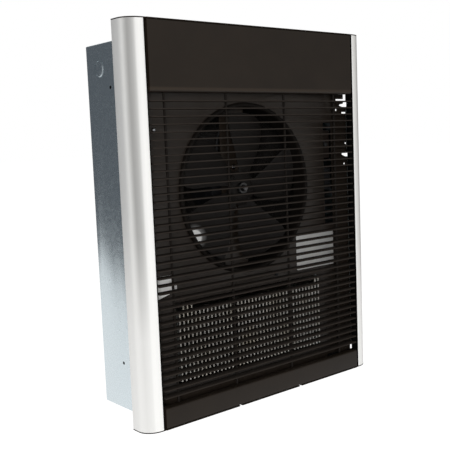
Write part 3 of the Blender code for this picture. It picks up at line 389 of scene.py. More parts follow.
class Look:
    # a node tree; fixed values go straight to the shader's sockets
    def __init__(self, name, **fixed):
        self.material = bpy.data.materials.new(name)
        self.material.use_nodes = True
        self.tree = self.material.node_tree
        self.shader = self.tree.nodes["Principled BSDF"]
        for key, value in fixed.items():
            self.input(key).default_value = (*value, 1) if isinstance(value, tuple) else value

    def input(self, key):
        # coatRoughness stands for the socket Coat Roughness
        words = "".join(" " + letter if letter.isupper() else letter for letter in key)
        return self.shader.inputs[words.title().replace("Specular Level", "Specular IOR Level")]

    def node(self, kind, settings=None, inputs=None, out=0):
        # any other node: its settings, its inputs as values or links, and the output that is wanted
        made = self.tree.nodes.new("ShaderNode" + kind)
        for key, value in (settings or {}).items():
            if key == "stops":
                elements = made.color_ramp.elements
                for _ in value[2:]:
                    elements.new(0.5)
                for element, (position, colour) in zip(elements, value):
                    element.position = position
                    element.color = (*colour, 1)
            else:
                setattr(made, key, value)
        for key, value in (inputs or {}).items():
            if isinstance(value, Value):
                self.tree.links.new(value.socket, made.inputs[key])
            else:
                made.inputs[key].default_value = value
        return Value(self, made.outputs[out])

    def feed(self, **links):
        # values that change over the surface, into the shader's sockets
        for key, value in links.items():
            self.tree.links.new(value.socket, self.input(key))
        return self

    def place(self, stretch=(1, 1, 1)):
        # object coordinates in metres, stretched
        return self.node("Mapping", {}, {"Vector": self.node("TexCoord", out="Object"), "Scale": stretch})

    def noise(self, scale, detail=3, stretch=(1, 1, 1), rough=0.5):
        # fractal noise of the stretched place, about 0.5
        return self.node("TexNoise", {}, {"Vector": self.place(stretch), "Scale": scale, "Detail": detail,
                                          "Roughness": rough})

    def blend(self, factor, first, second):
        # two colours mixed by a value
        first = first if isinstance(first, Value) else (*first, 1)
        second = second if isinstance(second, Value) else (*second, 1)
        return self.node("Mix", {"data_type": "RGBA"}, {0: factor, 6: first, 7: second}, out=2)

    def ramp(self, value, *stops):
        # straight runs between (place, level) stops
        return self.node("ValToRGB", {"stops": [(at, (level,) * 3) for at, level in stops]}, {0: value})

    def bump(self, height, strength, distance=0.0005):
        # the normal leans by the slope of the height
        return self.feed(normal=self.node("Bump", {}, {"Height": height, "Strength": strength,
                                                       "Distance": distance}))


def paint(name, colour, dustyAndPaintedLight, roughness, peel=0.25, grain=900, band=None, **fixed):
    # baked enamel: a fine orange peel, colour that thins a little in patches, and duller patches; between the
    # two heights of a highlight band, which lies along a bent edge, a painted highlight turns it a paler
    # brown
    look = Look(name, **fixed)
    patches = look.noise(24, detail=4)
    peelHeight = look.noise(grain, detail=2)
    enamel = look.blend(look.ramp(patches, (0.35, 0), (0.7, 1)), colour, dustyAndPaintedLight)
    # painted highlight: between two heights the enamel turns paler, standing for light off the lip's bend
    if band:
        height = look.node("SeparateXYZ", {}, {0: look.place()}, out=2)
        share = look.node("MapRange", {}, {"Value": height, "From Min": band[0], "From Max": band[1]})
        lipHighlight = look.ramp(share, (0.0, 0), (0.02, 0.6), (0.15, 1), (0.6, 1), (1.0, 0))
        enamel = look.blend(lipHighlight, enamel, tuple(level * 1.7 for level in dustyAndPaintedLight))
    look.feed(baseColor=enamel, roughness=roughness + (patches - 0.5) * 0.12)
    return look.bump(peelHeight, peel, 0.0002).material


def castMetal(name, colour, roughness, metallic=1.0, scale=60, spread=0.1, bump=0.1):
    # plated or bare metal with soft cloudy changes of brightness and gloss
    look = Look(name, metallic=metallic)
    cloud = look.noise(scale, detail=5)
    darker = tuple(level * (1 - spread) for level in colour)
    look.feed(baseColor=look.blend(cloud, darker, colour), roughness=roughness + (cloud - 0.5) * 0.2)
    return look.bump(look.noise(scale * 18, detail=2), bump, 0.0002).material


def moulded(name, colour, roughness, speck=0.15, **fixed):
    # moulded plastic: faint flow marks, a fine grain and small lighter specks
    look = Look(name, **fixed)
    flow = look.noise(45, detail=3, stretch=(1, 1, 0.3))
    lighter = tuple(min(1, level * (1 + speck) + 0.0005) for level in colour)
    look.feed(baseColor=look.blend(flow, colour, lighter), roughness=roughness + (flow - 0.5) * 0.1)
    return look.bump(look.noise(1400, detail=2), 0.18, 0.0002).material


def spangled(name, colour, roughness, cell=170, inside=None):
    # hot dip zinc: crystals that each lean and shine their own way, over slow grey clouds; inside a box that
    # reaches inside[0] and inside[1] from the middle along x and z it is painted dark and dull: painted shade
    look = Look(name, metallic=1.0)
    where = look.place((1, 1, 1.25))
    crystal = look.node("TexVoronoi", {}, {"Vector": where, "Scale": cell, "Randomness": 1.0}, out=1)
    tone = look.node("SeparateColor", {}, {0: crystal})
    cloud = look.noise(14, detail=4)
    darker = tuple(level * 0.93 for level in colour)
    zinc = look.blend(tone * 0.45 + cloud * 0.55, darker, colour)
    if inside:
        # the third limit is the middle of the back sheet
        axes = [look.node("SeparateXYZ", {}, {0: look.place()}, out=axis) for axis in (0, 1, 2)]
        off = [look.node("Math", {"operation": "ABSOLUTE"}, {0: axes[axis]}) for axis in (0, 2)]
        limits = zip(off + [axes[1]], (*inside, -0.0006))
        within = [value.math("LESS_THAN", value, limit) for value, limit in limits]
        # painted shade: inside the box the zinc turns near black and less metallic
        dustyAndPaintedLight = within[0] * within[1] * within[2]
        zinc = look.blend(dustyAndPaintedLight, zinc, (0.020, 0.018, 0.017))
        look.feed(metallic=1 - dustyAndPaintedLight * 0.8)
    look.feed(baseColor=zinc, roughness=roughness + (tone - 0.5) * 0.05 + (cloud - 0.5) * 0.06)
    feather = look.noise(420, detail=3, stretch=(1, 1, 0.4))
    return look.bump(tone * 0.6 + feather * 0.4, 0.015, 0.0004).material


def highlightedPaint(name, colour, roughness, centre, reach, **fixed):
    # enamel with a painted highlight: around one place its colour turns to bright metal,
    # and less so out to the reach
    look = Look(name, **fixed)
    where = look.node("TexCoord", out="Object")
    away = look.node("VectorMath", {"operation": "DISTANCE"}, {0: where, 1: centre}, out=1)
    tipHighlight = look.ramp(away * (1 / reach), (0.5, 1), (0.62, 0.22), (1.0, 0))
    fine = look.noise(900, detail=2)
    look.feed(baseColor=look.blend(tipHighlight, colour, (0.92, 0.92, 0.90)), metallic=tipHighlight * 0.9,
              roughness=roughness + (fine - 0.5) * 0.1)
    return look.bump(fine, 0.2, 0.0002).material


def extrudedMetal(name, colour, roughness, **fixed):
    # satin anodised extrusion: long faint die lines along its length, a soft cloud, and a painted reflection:
    # a darker streak along the turn of its bow that fades towards the foot; the streak follows the distance
    # from the middle plane
    look = Look(name, **fixed)
    lines = look.noise(900, detail=3, stretch=(1, 1, 0.006), rough=0.7)
    cloud = look.noise(7, detail=3)
    where = look.place()
    sideways = look.node("SeparateXYZ", {}, {0: where}, out=0)
    across = look.node("Math", {"operation": "ABSOLUTE"}, {0: sideways})
    share = look.node("MapRange", {}, {"Value": across, "From Min": 0.1858, "From Max": 0.211})
    # painted reflection: a darker band across the bow, weaker lower down
    paintedReflection = look.ramp(share, (0.28, 0), (0.44, 0.2), (0.54, 0.8), (0.64, 1), (0.80, 1), (0.92, 0.5),
                       (0.985, 0.12))
    height = look.node("SeparateXYZ", {}, {0: where}, out=2)
    reflectionFalloff = look.node("MapRange", {}, {"Value": height, "From Min": -0.13, "From Max": 0.0, "To Min": 0.35})
    light = look.blend(lines * 0.6 + cloud * 0.4, tuple(level * 0.95 for level in colour), colour)
    look.feed(baseColor=look.blend(paintedReflection * reflectionFalloff * 0.50, light, (0, 0, 0)),
              roughness=roughness + (lines - 0.5) * 0.16 + (cloud - 0.5) * 0.06)
    return look.bump(lines, 0.06, 0.0003).material


def finMetal(name, colour, roughness):
    # thin rolled aluminium: lines along the strip and heat stained patches
    look = Look(name, metallic=1.0)
    rolled = look.noise(700, detail=2, stretch=(1, 1, 0.05))
    stain = look.ramp(look.noise(30, detail=4), (0.45, 0), (0.75, 1))
    look.feed(baseColor=look.blend(stain, colour, (colour[0] * 0.86, colour[1] * 0.8, colour[2] * 0.68)),
              roughness=roughness + (rolled - 0.5) * 0.25)
    return look.bump(rolled, 0.08, 0.0003).material


def laminated(name, colour, roughness, pitch=0.0007):
    # stacked core plates: dark joints across the stack
    look = Look(name, metallic=0.9)
    where = look.node("SeparateXYZ", {}, {0: look.place()}, out=1)
    stack = look.node("Math", {"operation": "PINGPONG"}, {0: where, 1: pitch})
    joint = look.ramp(stack * (1 / pitch), (0.15, 0), (0.4, 1))
    rust = look.noise(120, detail=5)
    look.feed(baseColor=look.blend(joint * rust, (0.05, 0.035, 0.03), colour),
              roughness=roughness + rust * 0.1)
    return look.bump(joint, 0.3, 0.0003).material


def wireSkin(name, colour, roughness):
    # insulated wire: a slick skin with faint rub marks
    look = Look(name, coatWeight=0.2, coatRoughness=0.3)
    rub = look.noise(260, detail=3)
    duller = tuple(level * 0.85 for level in colour)
    look.feed(baseColor=look.blend(rub, duller, colour), roughness=roughness + rub * 0.15)
    return look.bump(rub, 0.05, 0.0002).material


def cardFace(name, colour, roughness):
    # printed-plate stock left bare: a fine tooth and slight yellowing in patches
    look = Look(name)
    tooth = look.noise(1600, detail=2)
    age = look.ramp(look.noise(18, detail=3), (0.4, 0), (0.8, 1))
    aged = (colour[0] * 0.97, colour[1] * 0.96, colour[2] * 0.92)
    look.feed(baseColor=look.blend(age, colour, aged), roughness=roughness + (tooth - 0.5) * 0.1)
    return look.bump(tooth, 0.1, 0.0001).material


# inside the wall box the zinc is painted dark: painted shade
galvanised = spangled("galvanised", (0.62, 0.69, 0.72), 0.26, inside=(0.1824, 0.2434))
innerSteel = spangled("innerSteel", (0.34, 0.37, 0.39), 0.40)
# the rails carry a painted reflection: a darker streak along the bow
railAluminium = extrudedMetal("railAluminium", (0.88, 0.875, 0.855), 0.38, metallic=0.4)
# its band is a painted highlight along the lower lip of the top panel
bronzePaint = paint("bronzePaint", (0.0127, 0.0092, 0.0065), (0.0157, 0.0114, 0.0081), 0.42,
                    band=(0.1757, 0.1806), specularLevel=0.14)
grillePaint = paint("grillePaint", (0.0240, 0.0195, 0.0165), (0.0285, 0.0235, 0.0200), 0.75,
                   specularLevel=0.03)
# the grille's paint made darker for the rods: painted shade, as they lie deep between the bars
shadedRodPaint = paint("shadedRodPaint", (0.0115, 0.0095, 0.0082), (0.0140, 0.0116, 0.0100), 0.5,
                 specularLevel=0.08)
ringPaint = paint("ringPaint", (0.0085, 0.0070, 0.0060), (0.0105, 0.0086, 0.0074), 0.5,
                  specularLevel=0.10)
innerPaint = paint("innerPaint", (0.0205, 0.0152, 0.0114), (0.0250, 0.0188, 0.0144), 0.42,
                   specularLevel=0.40)
# the blades' paint carries a painted highlight near one blade tip
fanPaintAndHighlight = highlightedPaint("fanPaintAndHighlight", (0.0135, 0.0118, 0.0108), 0.45, (-0.0834, -0.0915, -0.0175), 0.0185,
                        specularLevel=0.12)
finAluminium = finMetal("finAluminium", (0.58, 0.565, 0.53), 0.42)
motorPaint = paint("motorPaint", (0.0055, 0.0055, 0.0060), (0.0080, 0.0080, 0.0088), 0.5, grain=1300,
                   specularLevel=0.1)
coreIron = laminated("coreIron", (0.33, 0.33, 0.34), 0.45)
bushBronze = castMetal("bushBronze", (0.60, 0.40, 0.19), 0.35, spread=0.2)
zincPlate = castMetal("zincPlate", (0.76, 0.77, 0.79), 0.28)
# zinc made near black for the hub, the thermostat bush and its shaft: painted shade inside the heater
shadedZinc = castMetal("shadedZinc", (0.10, 0.10, 0.10), 0.45, metallic=0.9)
darkScrew = castMetal("darkScrew", (0.13, 0.12, 0.115), 0.38, metallic=0.8)
groundGreen = paint("groundGreen", (0.02, 0.20, 0.06), (0.03, 0.26, 0.09), 0.35)
brownMoulding = moulded("brownMoulding", (0.015, 0.011, 0.009), 0.42, speck=0.5, specularLevel=0.25)
blackPlastic = moulded("blackPlastic", (0.012, 0.012, 0.013), 0.45, specularLevel=0.25)
# black foam for the rails' strips, which also stand in as painted shade in the panel gap
blackFoamAndShade = moulded("blackFoamAndShade", (0.0015, 0.0015, 0.0015), 0.9, speck=0.5, specularLevel=0.02)
porcelain = moulded("porcelain", (0.86, 0.84, 0.79), 0.22, speck=0.05, coatWeight=0.5, coatRoughness=0.08)
blankCard = cardFace("blankCard", (0.60, 0.60, 0.59), 0.55)
tagPaper = cardFace("tagPaper", (0.92, 0.92, 0.92), 0.6)
whiteLead = wireSkin("whiteLead", (0.83, 0.83, 0.80), 0.38)
blackLead = wireSkin("blackLead", (0.028, 0.028, 0.03), 0.36)
copper = castMetal("copper", (0.72, 0.36, 0.22), 0.35, spread=0.25, scale=240)
print("finishes made:", len(bpy.data.materials))


# Front cover

rail = {"half": 211.0, "inner": 186.2, "flat": 2.7, "wall": 112.3, "side": 13.0, "face": 145.1, "skin": 1.6,
        "leg": 182.4, "legBack": 135.5, "step": 141.0, "foot": 2.6, "corner": 0.35}
railZ = spanOf("right_rail")[2]


def bowLine(inset=0, steps=40):
    # the rail's bowed face: a quarter of an ellipse from its straight side to its flat front
    centre = (rail["inner"] + rail["flat"], rail["wall"] + rail["side"])
    radii = (rail["half"] - centre[0] - inset, rail["face"] - centre[1] - inset)
    return arc(centre, radii, 0, 90, steps)


def railForm():
    # the extrusion's closed section in (x, h), its corners eased, carried up the cover
    inner, leg, skin = rail["inner"], rail["leg"], rail["skin"]
    face, step, half, wall = rail["face"], rail["step"], rail["half"], rail["wall"]
    section = np.vstack((
        [(half, wall)], bowLine(),
        [(inner, face), (inner, step), (leg, step), (leg, rail["legBack"]), (leg + skin, rail["legBack"]),
         (leg + skin, step - skin), (inner + skin, step - skin), (inner + skin, face - skin)],
        bowLine(skin)[::-1],
        [(half - skin, wall + skin), (half - rail["foot"], wall + skin), (half - rail["foot"], wall)]))
    return extruded(eased(section, rail["corner"], closed=True, steps=3), railZ, "z")


makePiece("rightRail", railForm(), railAluminium, instead=("right_rail",))
makePiece("leftRail", railForm().mirrored(), railAluminium, instead=("left_rail",))
# black foam strips on the rails' inner step: partly a seal, partly a painted shade that blackens the gap
sealAndShadeLine = [(186.2, 144.9), (186.0, 144.9), (186.0, 141.2), (182.2, 141.2), (182.2, 135.4), (182.4, 135.4),
            (182.4, 141.0), (186.2, 141.0)]
sealAndShade = extruded(sealAndShadeLine, railZ, "z")
makePiece("railSealsAndShade", sealAndShade + sealAndShade.mirrored(), blackFoamAndShade)

panel = {"half": 182.1, "front": 146.0, "lip": 10.0, "flange": 18.0, "sheet": 1.2, "bend": 1.5,
         "wideBend": 3.4, "relief": 1.8, "notchX": 57.7, "notchWidth": 4.0, "notchTop": -246.2}


def capForm(span, notches):
    # the cover's end plate: both rails' bows and the straight front between them
    half = np.vstack(([(rail["half"], rail["wall"])], bowLine(), [(panel["half"], rail["face"])]))
    front = [(panel["half"], panel["front"])]
    if notches:
        near = panel["notchX"] - panel["notchWidth"] / 2
        far = near + panel["notchWidth"]
        deep = panel["front"] - panel["lip"]
        front += [(far, panel["front"]), (far, deep), (near, deep), (near, panel["front"])]
    half = np.vstack((half, front))
    return plate([np.vstack((half, (half * (-1, 1))[::-1]))], span, "z")


makePiece("topCap", capForm(spanOf("top_cap")[2], False), bronzePaint, instead=("top_cap",))
makePiece("bottomCap", capForm(spanOf("bottom_cap")[2], True), bronzePaint,
          instead=("bottom_cap",))


def panelForm(edge, inner, bend):
    # a folded pan: end wall, front and lip in one sheet, and a flange at each side; the lip turns on an arc
    inward = math.copysign(1, inner - edge)
    half, sheet, front = panel["half"], panel["sheet"], panel["front"]
    a, b = edge + inward * sheet / 2, inner - inward * sheet / 2
    turn = arc((front - sheet / 2 - bend, b - inward * bend), (bend, bend), 0, 90 * inward, 8)
    line = np.vstack(([(rail["wall"], a), (front - sheet / 2, a)], turn, [(front - panel["lip"], b)]))
    pan = bentSheet(line, sheet, panel["bend"], (-half, half), "x")
    z = sorted((edge + inward * panel["relief"], inner - inward * panel["relief"]))
    flange = block((half - sheet, half), (front - panel["flange"], front - sheet / 2), z, 0.25)
    return pan + flange + flange.mirrored()


topPanelZ = spanOf("top_panel")[2]
bottomPanelZ = spanOf("bottom_panel")[2]
makePiece("topPanel", panelForm(topPanelZ[1], topPanelZ[0], panel["wideBend"]), bronzePaint,
          instead=("top_panel",))
bottomPanel = makePiece("bottomPanel", panelForm(*bottomPanelZ, panel["bend"]), bronzePaint,
                        instead=("bottom_panel",))
for side in (-1, 1):
    notch = sorted(side * (panel["notchX"] + end * panel["notchWidth"] / 2) for end in (-1, 1))
    carve(bottomPanel, extruded(box2d(notch, (panel["front"] - panel["lip"], panel["front"] + 2)),
                                (bottomPanelZ[0] - 3, panel["notchTop"]), "z"))
print("cover made")


# Grille

grille = {"half": 182.1, "firstZ": 163.1, "pitch": 9.525, "bars": 40, "thick": 1.6, "back": 132.0,
          "front": 146.0, "edge": 0.25, "rodX": (-154.2, -54.6, 51.4, 154.2), "rodSize": 3.0, "rodH": 134.4,
          "rodGap": 0.3, "weld": 0.9, "weldRise": 1.3, "weldSink": 0.45}
edge, barMiddle = grille["edge"], (middle((grille["back"], grille["front"])), 0)
barHalf = ((grille["front"] - grille["back"]) / 2, grille["thick"] / 2)
barSection = roundedRect(*barHalf, 0.5, 3) + barMiddle
barTip = roundedRect(barHalf[0] - edge, barHalf[1] - edge, 0.4, 3) + barMiddle
bar = loft([placed(barTip, -grille["half"], "x"), placed(barSection, -grille["half"] + edge, "x"),
            placed(barSection, grille["half"] - edge, "x"), placed(barTip, grille["half"], "x")])
barZ = grille["firstZ"] - grille["pitch"] * np.arange(grille["bars"])
rodX = np.array(grille["rodX"])
bars = bar.copies(offsets(0, 0, barZ))
rodHalf = grille["rodSize"] / 2
rodForm = extruded(roundedRect(rodHalf, rodHalf, 1.0, 3) + (0, grille["rodH"]),
                   (bottomPanelZ[1] + grille["rodGap"], topPanelZ[0] - grille["rodGap"]), "z")
rods = rodForm.copies(offsets(rodX, 0, 0))
crossX, crossZ = (grid.ravel() for grid in np.meshgrid(rodX, barZ))
beadLine = [(pole, 0), (0.6, 0.1), (grille["weld"], 0.45), (0.6, 0.8), (pole, 0.9)]
bead = turned(beadLine, direction="up", sides=8)
weldZ = crossZ + grille["thick"] / 2 - grille["weldSink"]
above = offsets(crossX, grille["rodH"] + grille["weldRise"], weldZ)
below = above - (0, 0, grille["thick"])
makePiece("barGrille", bars, grillePaint, instead=("bar_grille",))
makePiece("grilleRods", total((rods, bead.copies(above), bead.copies(below))), shadedRodPaint)
print("grille made:", grille["bars"], "bars")


# Screws

screws = {"head": 3.6, "height": 2.2, "gap": 0.3, "shank": 1.75, "crossHalf": 0.55, "crossReach": 2.0,
          "crossDepth": 1.3, "sides": 48, "pitch": 0.7}


def screwForm(at, direction, shank, slotted=False, head=screws["head"], height=screws["height"]):
    # rings from the shank's tip to the middle of a domed head; the drive sinks the dome where a point lies
    # within the half width of an arm, along x, along z or both
    sides, gap, r = screws["sides"], screws["gap"], screws["shank"]
    thread = np.arange(int(shank / screws["pitch"]))
    body = np.stack((r - 0.3 * (thread % 2), -shank + 0.5 + screws["pitch"] * thread), 1)
    share = np.linspace(1, 0.012, 16)
    dome = np.stack((head * share, gap + (height - gap) * (1 - 0.55 * share ** 3)), 1)
    profile = np.vstack(([(0.4, -shank), (r - 0.4, -shank + 0.2)], body, [(r, gap), (head - 0.15, gap),
                         (head, gap + 0.15)], dome))
    a = np.arange(sides) * tau / sides
    x, z = profile[:, :1] * np.cos(a), profile[:, :1] * np.sin(a)
    h = np.repeat(profile[:, 1:], sides, axis=1)
    across, along = abs(x), abs(z)
    if not slotted:
        across, along = np.minimum(across, along), np.maximum(across, along)
    reach = head * 1.2 if slotted else screws["crossReach"]
    sunk = np.clip((screws["crossHalf"] - across) / 0.12, 0, 1) * np.clip((reach - along) / 0.5, 0, 1)
    isDome = np.arange(len(profile)) >= len(profile) - len(dome)
    h = h - screws["crossDepth"] * (0.6 if slotted else 1) * sunk * isDome[:, None]
    return loft(np.stack((x, h, z), -1)).aimed(direction, at)


def screwOn(node, at, direction, shank, finish, slotName, **more):
    # a screw that stands for a node of the model and is named after it
    makePiece(camel(node), screwForm(at, direction, shank, **more), finish,
              instead=(node,), crease=40)


screwAt = {"coverX": 57.7, "coverH": 119.3, "coverZ": (262.2, -248.8), "coverShank": 6.2,
           "frameX": 169.8, "frameH": 113.5, "frameZ": (236.8, -236.8), "sheetShank": 4.7, "hole": 2.05,
           "panelH": 108.6, "panelHead": 2.7, "motorH": 80.0, "motorZ": (74.1, 14.1), "motorShank": 10,
           "ground": (-60, 1.2, 200), "groundHead": 4.5, "groundShank": 0.9}
for side, word in ((-1, "left"), (1, "right")):
    for end, direction, z in zip(("top", "bottom"), ("up", "down"), screwAt["coverZ"]):
        at = (side * screwAt["coverX"], screwAt["coverH"], z)
        screwOn("cover_screw_" + end + "_" + word, at, direction, screwAt["coverShank"], darkScrew,
                "dark_screws")
    for end, z in zip(("upper", "lower"), screwAt["frameZ"]):
        at = (side * screwAt["frameX"], screwAt["frameH"], z)
        screwOn("frame_screw_" + end + "_" + word, at, "front", screwAt["sheetShank"], zincPlate, "zinc")
panelScrews = {"upper_left": (-154.2, 128.9), "upper_right": (154.2, 195.0), "lower_left": (-120.0, -237.0),
               "lower_right": (120.0, -237.0)}
for word, (x, z) in panelScrews.items():
    screwOn("panel_screw_" + word, (x, screwAt["panelH"], z), "front", screwAt["sheetShank"], zincPlate,
            "zinc", head=screwAt["panelHead"])
for word, z in zip(("upper", "lower"), screwAt["motorZ"]):
    screwOn("motor_screw_" + word, (0, screwAt["motorH"], z), "front", screwAt["motorShank"], zincPlate,
            "zinc")
screwOn("ground_screw", screwAt["ground"], "front", screwAt["groundShank"], groundGreen, "ground_green",
        slotted=True, head=screwAt["groundHead"])
print("screws made")


# Wall box and mounting frame

wallBox = {"half": 183.0, "top": 244.0, "depth": 112.0, "sheet": 1.2, "bend": 1.6, "knockout": 11.1,
           "knockoutH": 32.4, "sideZ": 211.1, "endX": 95.0, "nail": 2.2, "nailReach": 190.0,
           "upperNail": (57.7, 186.0), "lowerNail": (52.4, -180.0), "edge": 0.15, "tabX": (157.8, 182.4),
           "tabH": (110.8, 111.99), "tabZ": (230.8, 243.4), "earX": (147.8, 182.4), "earH": (105.9, 107.1),
           "leftEarZ": (118.9, 138.9), "rightEarZ": (185.0, 205.0), "lowEarX": (110.0, 130.0),
           "lowEarZ": (-243.4, -227.3)}


def boxRing(inset, height, corner):
    # the box's rounded outline, drawn in by the inset, at a height
    ring = roundedRect(wallBox["half"] - inset, wallBox["top"] - inset, corner, 4)
    return placed(ring, height, "h")


def boxForm():
    # one skin from the back's outer face, round the bend, up the walls, over the rim and down inside, and
    # the tabs and ears that the frame and the fan panel are screwed to
    sheet, bend, depth, edge = wallBox["sheet"], wallBox["bend"], wallBox["depth"], wallBox["edge"]
    outer = arc((bend, bend), (bend, bend), 270, 180, 5)
    inner = arc((bend, bend), (bend - sheet, bend - sheet), 180, 270, 5)
    rings = [boxRing(inset, height, bend) for inset, height in outer]
    rings += [boxRing(0, depth - edge, bend), boxRing(edge, depth, bend), boxRing(sheet - edge, depth, 0.6)]
    rings += [boxRing(sheet, depth - edge, 0.5)]
    rings += [boxRing(inset, height, 0.5) for inset, height in inner]
    low, high = wallBox["tabZ"]
    tabs = [block(wallBox["tabX"], wallBox["tabH"], span, 0.2) for span in ((low, high), (-high, -low))]
    tabs.append(block(wallBox["lowEarX"], wallBox["earH"], wallBox["lowEarZ"], 0.2))
    tabs += [tab.mirrored() for tab in tabs]
    tabs += [block(wallBox["earX"], wallBox["earH"], wallBox["leftEarZ"], 0.2).mirrored(),
             block(wallBox["earX"], wallBox["earH"], wallBox["rightEarZ"], 0.2)]
    return loft(rings) + total(tabs)


def knockoutForm():
    # the sheared disc, standing a little proud, with two ties left across the groove
    r = wallBox["knockout"]
    disc = turned([(pole, 1.15), (r - 3.5, 1.15), (r - 0.95, -0.05), (r - 0.85, -0.4), (pole, -0.4)])
    ties = [block((-1.1, 1.1), (-0.4, 0.02), span, 0.1) for span in ((r - 1.2, r + 0.4), (-r - 0.4, 1.2 - r))]
    return disc + total(ties).spun(0.6)


galvanisedBox = makePiece("wallBox", boxForm(), galvanised, instead=("wall_box",))
boxHalf, boxTop, knockoutH = wallBox["half"], wallBox["top"], wallBox["knockoutH"]
sideZ, endX = wallBox["sideZ"], wallBox["endX"]
knockouts = (("left", (-boxHalf, knockoutH, sideZ)), ("right", (boxHalf, knockoutH, sideZ)),
             ("up", (endX, knockoutH, boxTop)), ("down", (endX, knockoutH, -boxTop)))
r = wallBox["knockout"]
groove = turned([(r - 0.8, 2), (r, 2), (r, -0.5), (r - 0.8, -0.5)], loop=True)
carve(galvanisedBox, total(groove.aimed(direction, at) for direction, at in knockouts))
nail, reach = wallBox["nail"], wallBox["nailReach"]
drill = turned([(pole, -reach), (nail, -reach), (nail, reach), (pole, reach)], sides=24)
nails = (wallBox["upperNail"], wallBox["lowerNail"])
carve(galvanisedBox, total(drill.aimed("right", (0, height, z)) for height, z in nails))
makePiece("knockouts", total(knockoutForm().aimed(direction, at) for direction, at in knockouts), galvanised)

frameSizes = {"ear": 208.1, "opening": (179.0, 240.0), "gusset": (157.8, 230.8), "lipHalf": 182.1,
              "lipTop": 126.3, "sheet": 1.2, "lipSheet": 1.18, "lipBend": 1.4, "lipReach": 9.0,
              "slit": ((195.9, 205.7), (146.2, 148.6)), "hole": 1.7,
              "holes": ((183.5, 151.8), (203.7, 100.4), (199.8, 68.6)),
              "edge": ((205.2, 206.8), (113.45, 113.8)), "edgeZ": ((-220, 79), (87, 156))}
frameH, frameZ = spanOf("mounting_frame")[1:]


def corners(near, far):
    # a rectangle's outline with a square notch or gusset at each corner, from its near and far (x, z)
    quarter = [(near[0], far[1]), (near[0], near[1]), (far[0], near[1])]
    line = []
    for side, end in ((1, -1), (1, 1), (-1, 1), (-1, -1)):
        line += [(side * x, end * z) for x, z in (quarter[::-1] if side * end > 0 else quarter)]
    return np.array(line)


def mountingFrameForm():
    # a flat frame with its notches and holes, and a bent lip along its top and its bottom
    ear, sheet = frameSizes["ear"], frameSizes["sheet"]
    bottom, top = frameZ
    outer = [(-ear, bottom), (ear, bottom), (ear, -229.5), (203.6, -229.5), (203.6, -220.7), (ear, -220.7),
             (ear, 79.7), (202.6, 79.7), (194.5, 82.8), (194.5, 86.2), (ear, 86.2), (ear, 156.5),
             (198.1, 156.5), (191.1, 158.2), (191.1, 160.0), (200, 161.5), (200, 165.8), (183.1, 165.8),
             (183.1, 168.4),
             (200, 168.4), (200, 176.2), (206.5, 176.2), (206.5, 166), (ear, 166), (ear, top), (-ear, top)]
    loops = [eased(outer, 0.4, closed=True, steps=2), corners(frameSizes["gusset"], frameSizes["opening"]),
             eased(box2d(*frameSizes["slit"]), 0.4, closed=True, steps=2)]
    loops += [circle(at, frameSizes["hole"], 24) for at in frameSizes["holes"]]
    x = screwAt["frameX"]
    loops += [circle((side, z), screwAt["hole"], 24) for side in (-x, x) for z in screwAt["frameZ"][::-1]]
    form = plate(loops, (frameH[0], frameH[0] + sheet))
    lip, middleH, reach = frameSizes["lipHalf"], frameH[0] + sheet / 2, frameSizes["lipReach"]
    for edge, inward in ((top, -1), (bottom, 1)):
        bendZ = edge + inward * sheet / 2
        line = [(middleH, edge + inward * reach), (middleH, bendZ), (frameSizes["lipTop"], bendZ)]
        form += bentSheet(line, frameSizes["lipSheet"], frameSizes["lipBend"], (-lip, lip), "x")
    return form


makePiece("mountingFrame", mountingFrameForm(), innerPaint, instead=("mounting_frame",))
edges = [block(*frameSizes["edge"], span, 0.15) for span in frameSizes["edgeZ"]]
makePiece("frameEdges", total(edges), galvanised)
print("wall box and mounting frame made")


# Fan panel, plates and orifice

fanPanel = {"h": (107.4, 108.6), "half": (181.5, 242.5), "notch": (155.8, 228.8), "fanZ": 44.1,
            "hole": 113.8, "opening": (137.06, 54.6), "elementZ": -153.2, "slotX": (158.0, 176.0),
            "slotZ": (-23.7, 133.2), "buttonAt": (50.0, -85.5)}
fanZ = fanPanel["fanZ"]
openingX, openingHalf = fanPanel["opening"]
openingZ = (fanPanel["elementZ"] - openingHalf, fanPanel["elementZ"] + openingHalf)
panelLoops = [corners(fanPanel["notch"], fanPanel["half"]), circle((0, fanZ), fanPanel["hole"], 160)]
panelLoops += [eased(box2d((-openingX, openingX), openingZ), 2, closed=True),
               eased(box2d(fanPanel["slotX"], fanPanel["slotZ"]), 1.5, closed=True),
               circle(fanPanel["buttonAt"], 2.9, 32)]
panelLoops += [circle(at, screwAt["hole"], 24) for at in panelScrews.values()]
makePiece("fanPanel", plate(panelLoops, fanPanel["h"]), innerPaint, instead=("fan_panel",))

orifice = {"radius": 112.3, "bead": 3.6, "sheet": 1.2, "seat": 108.9, "back": 88.3}
beadAt = (orifice["radius"] + orifice["bead"], orifice["seat"])
inside, outside = orifice["radius"], orifice["radius"] + orifice["sheet"]
throat = np.vstack((arc(beadAt, (orifice["bead"],) * 2, 180, 0, 18),
                    [(outside, orifice["seat"]), (outside, orifice["back"]), (inside, orifice["back"])]))
makePiece("orificeRing", turned(throat, (0, 0, fanZ), sides=180, loop=True), ringPaint,
          instead=("orifice_ring",))

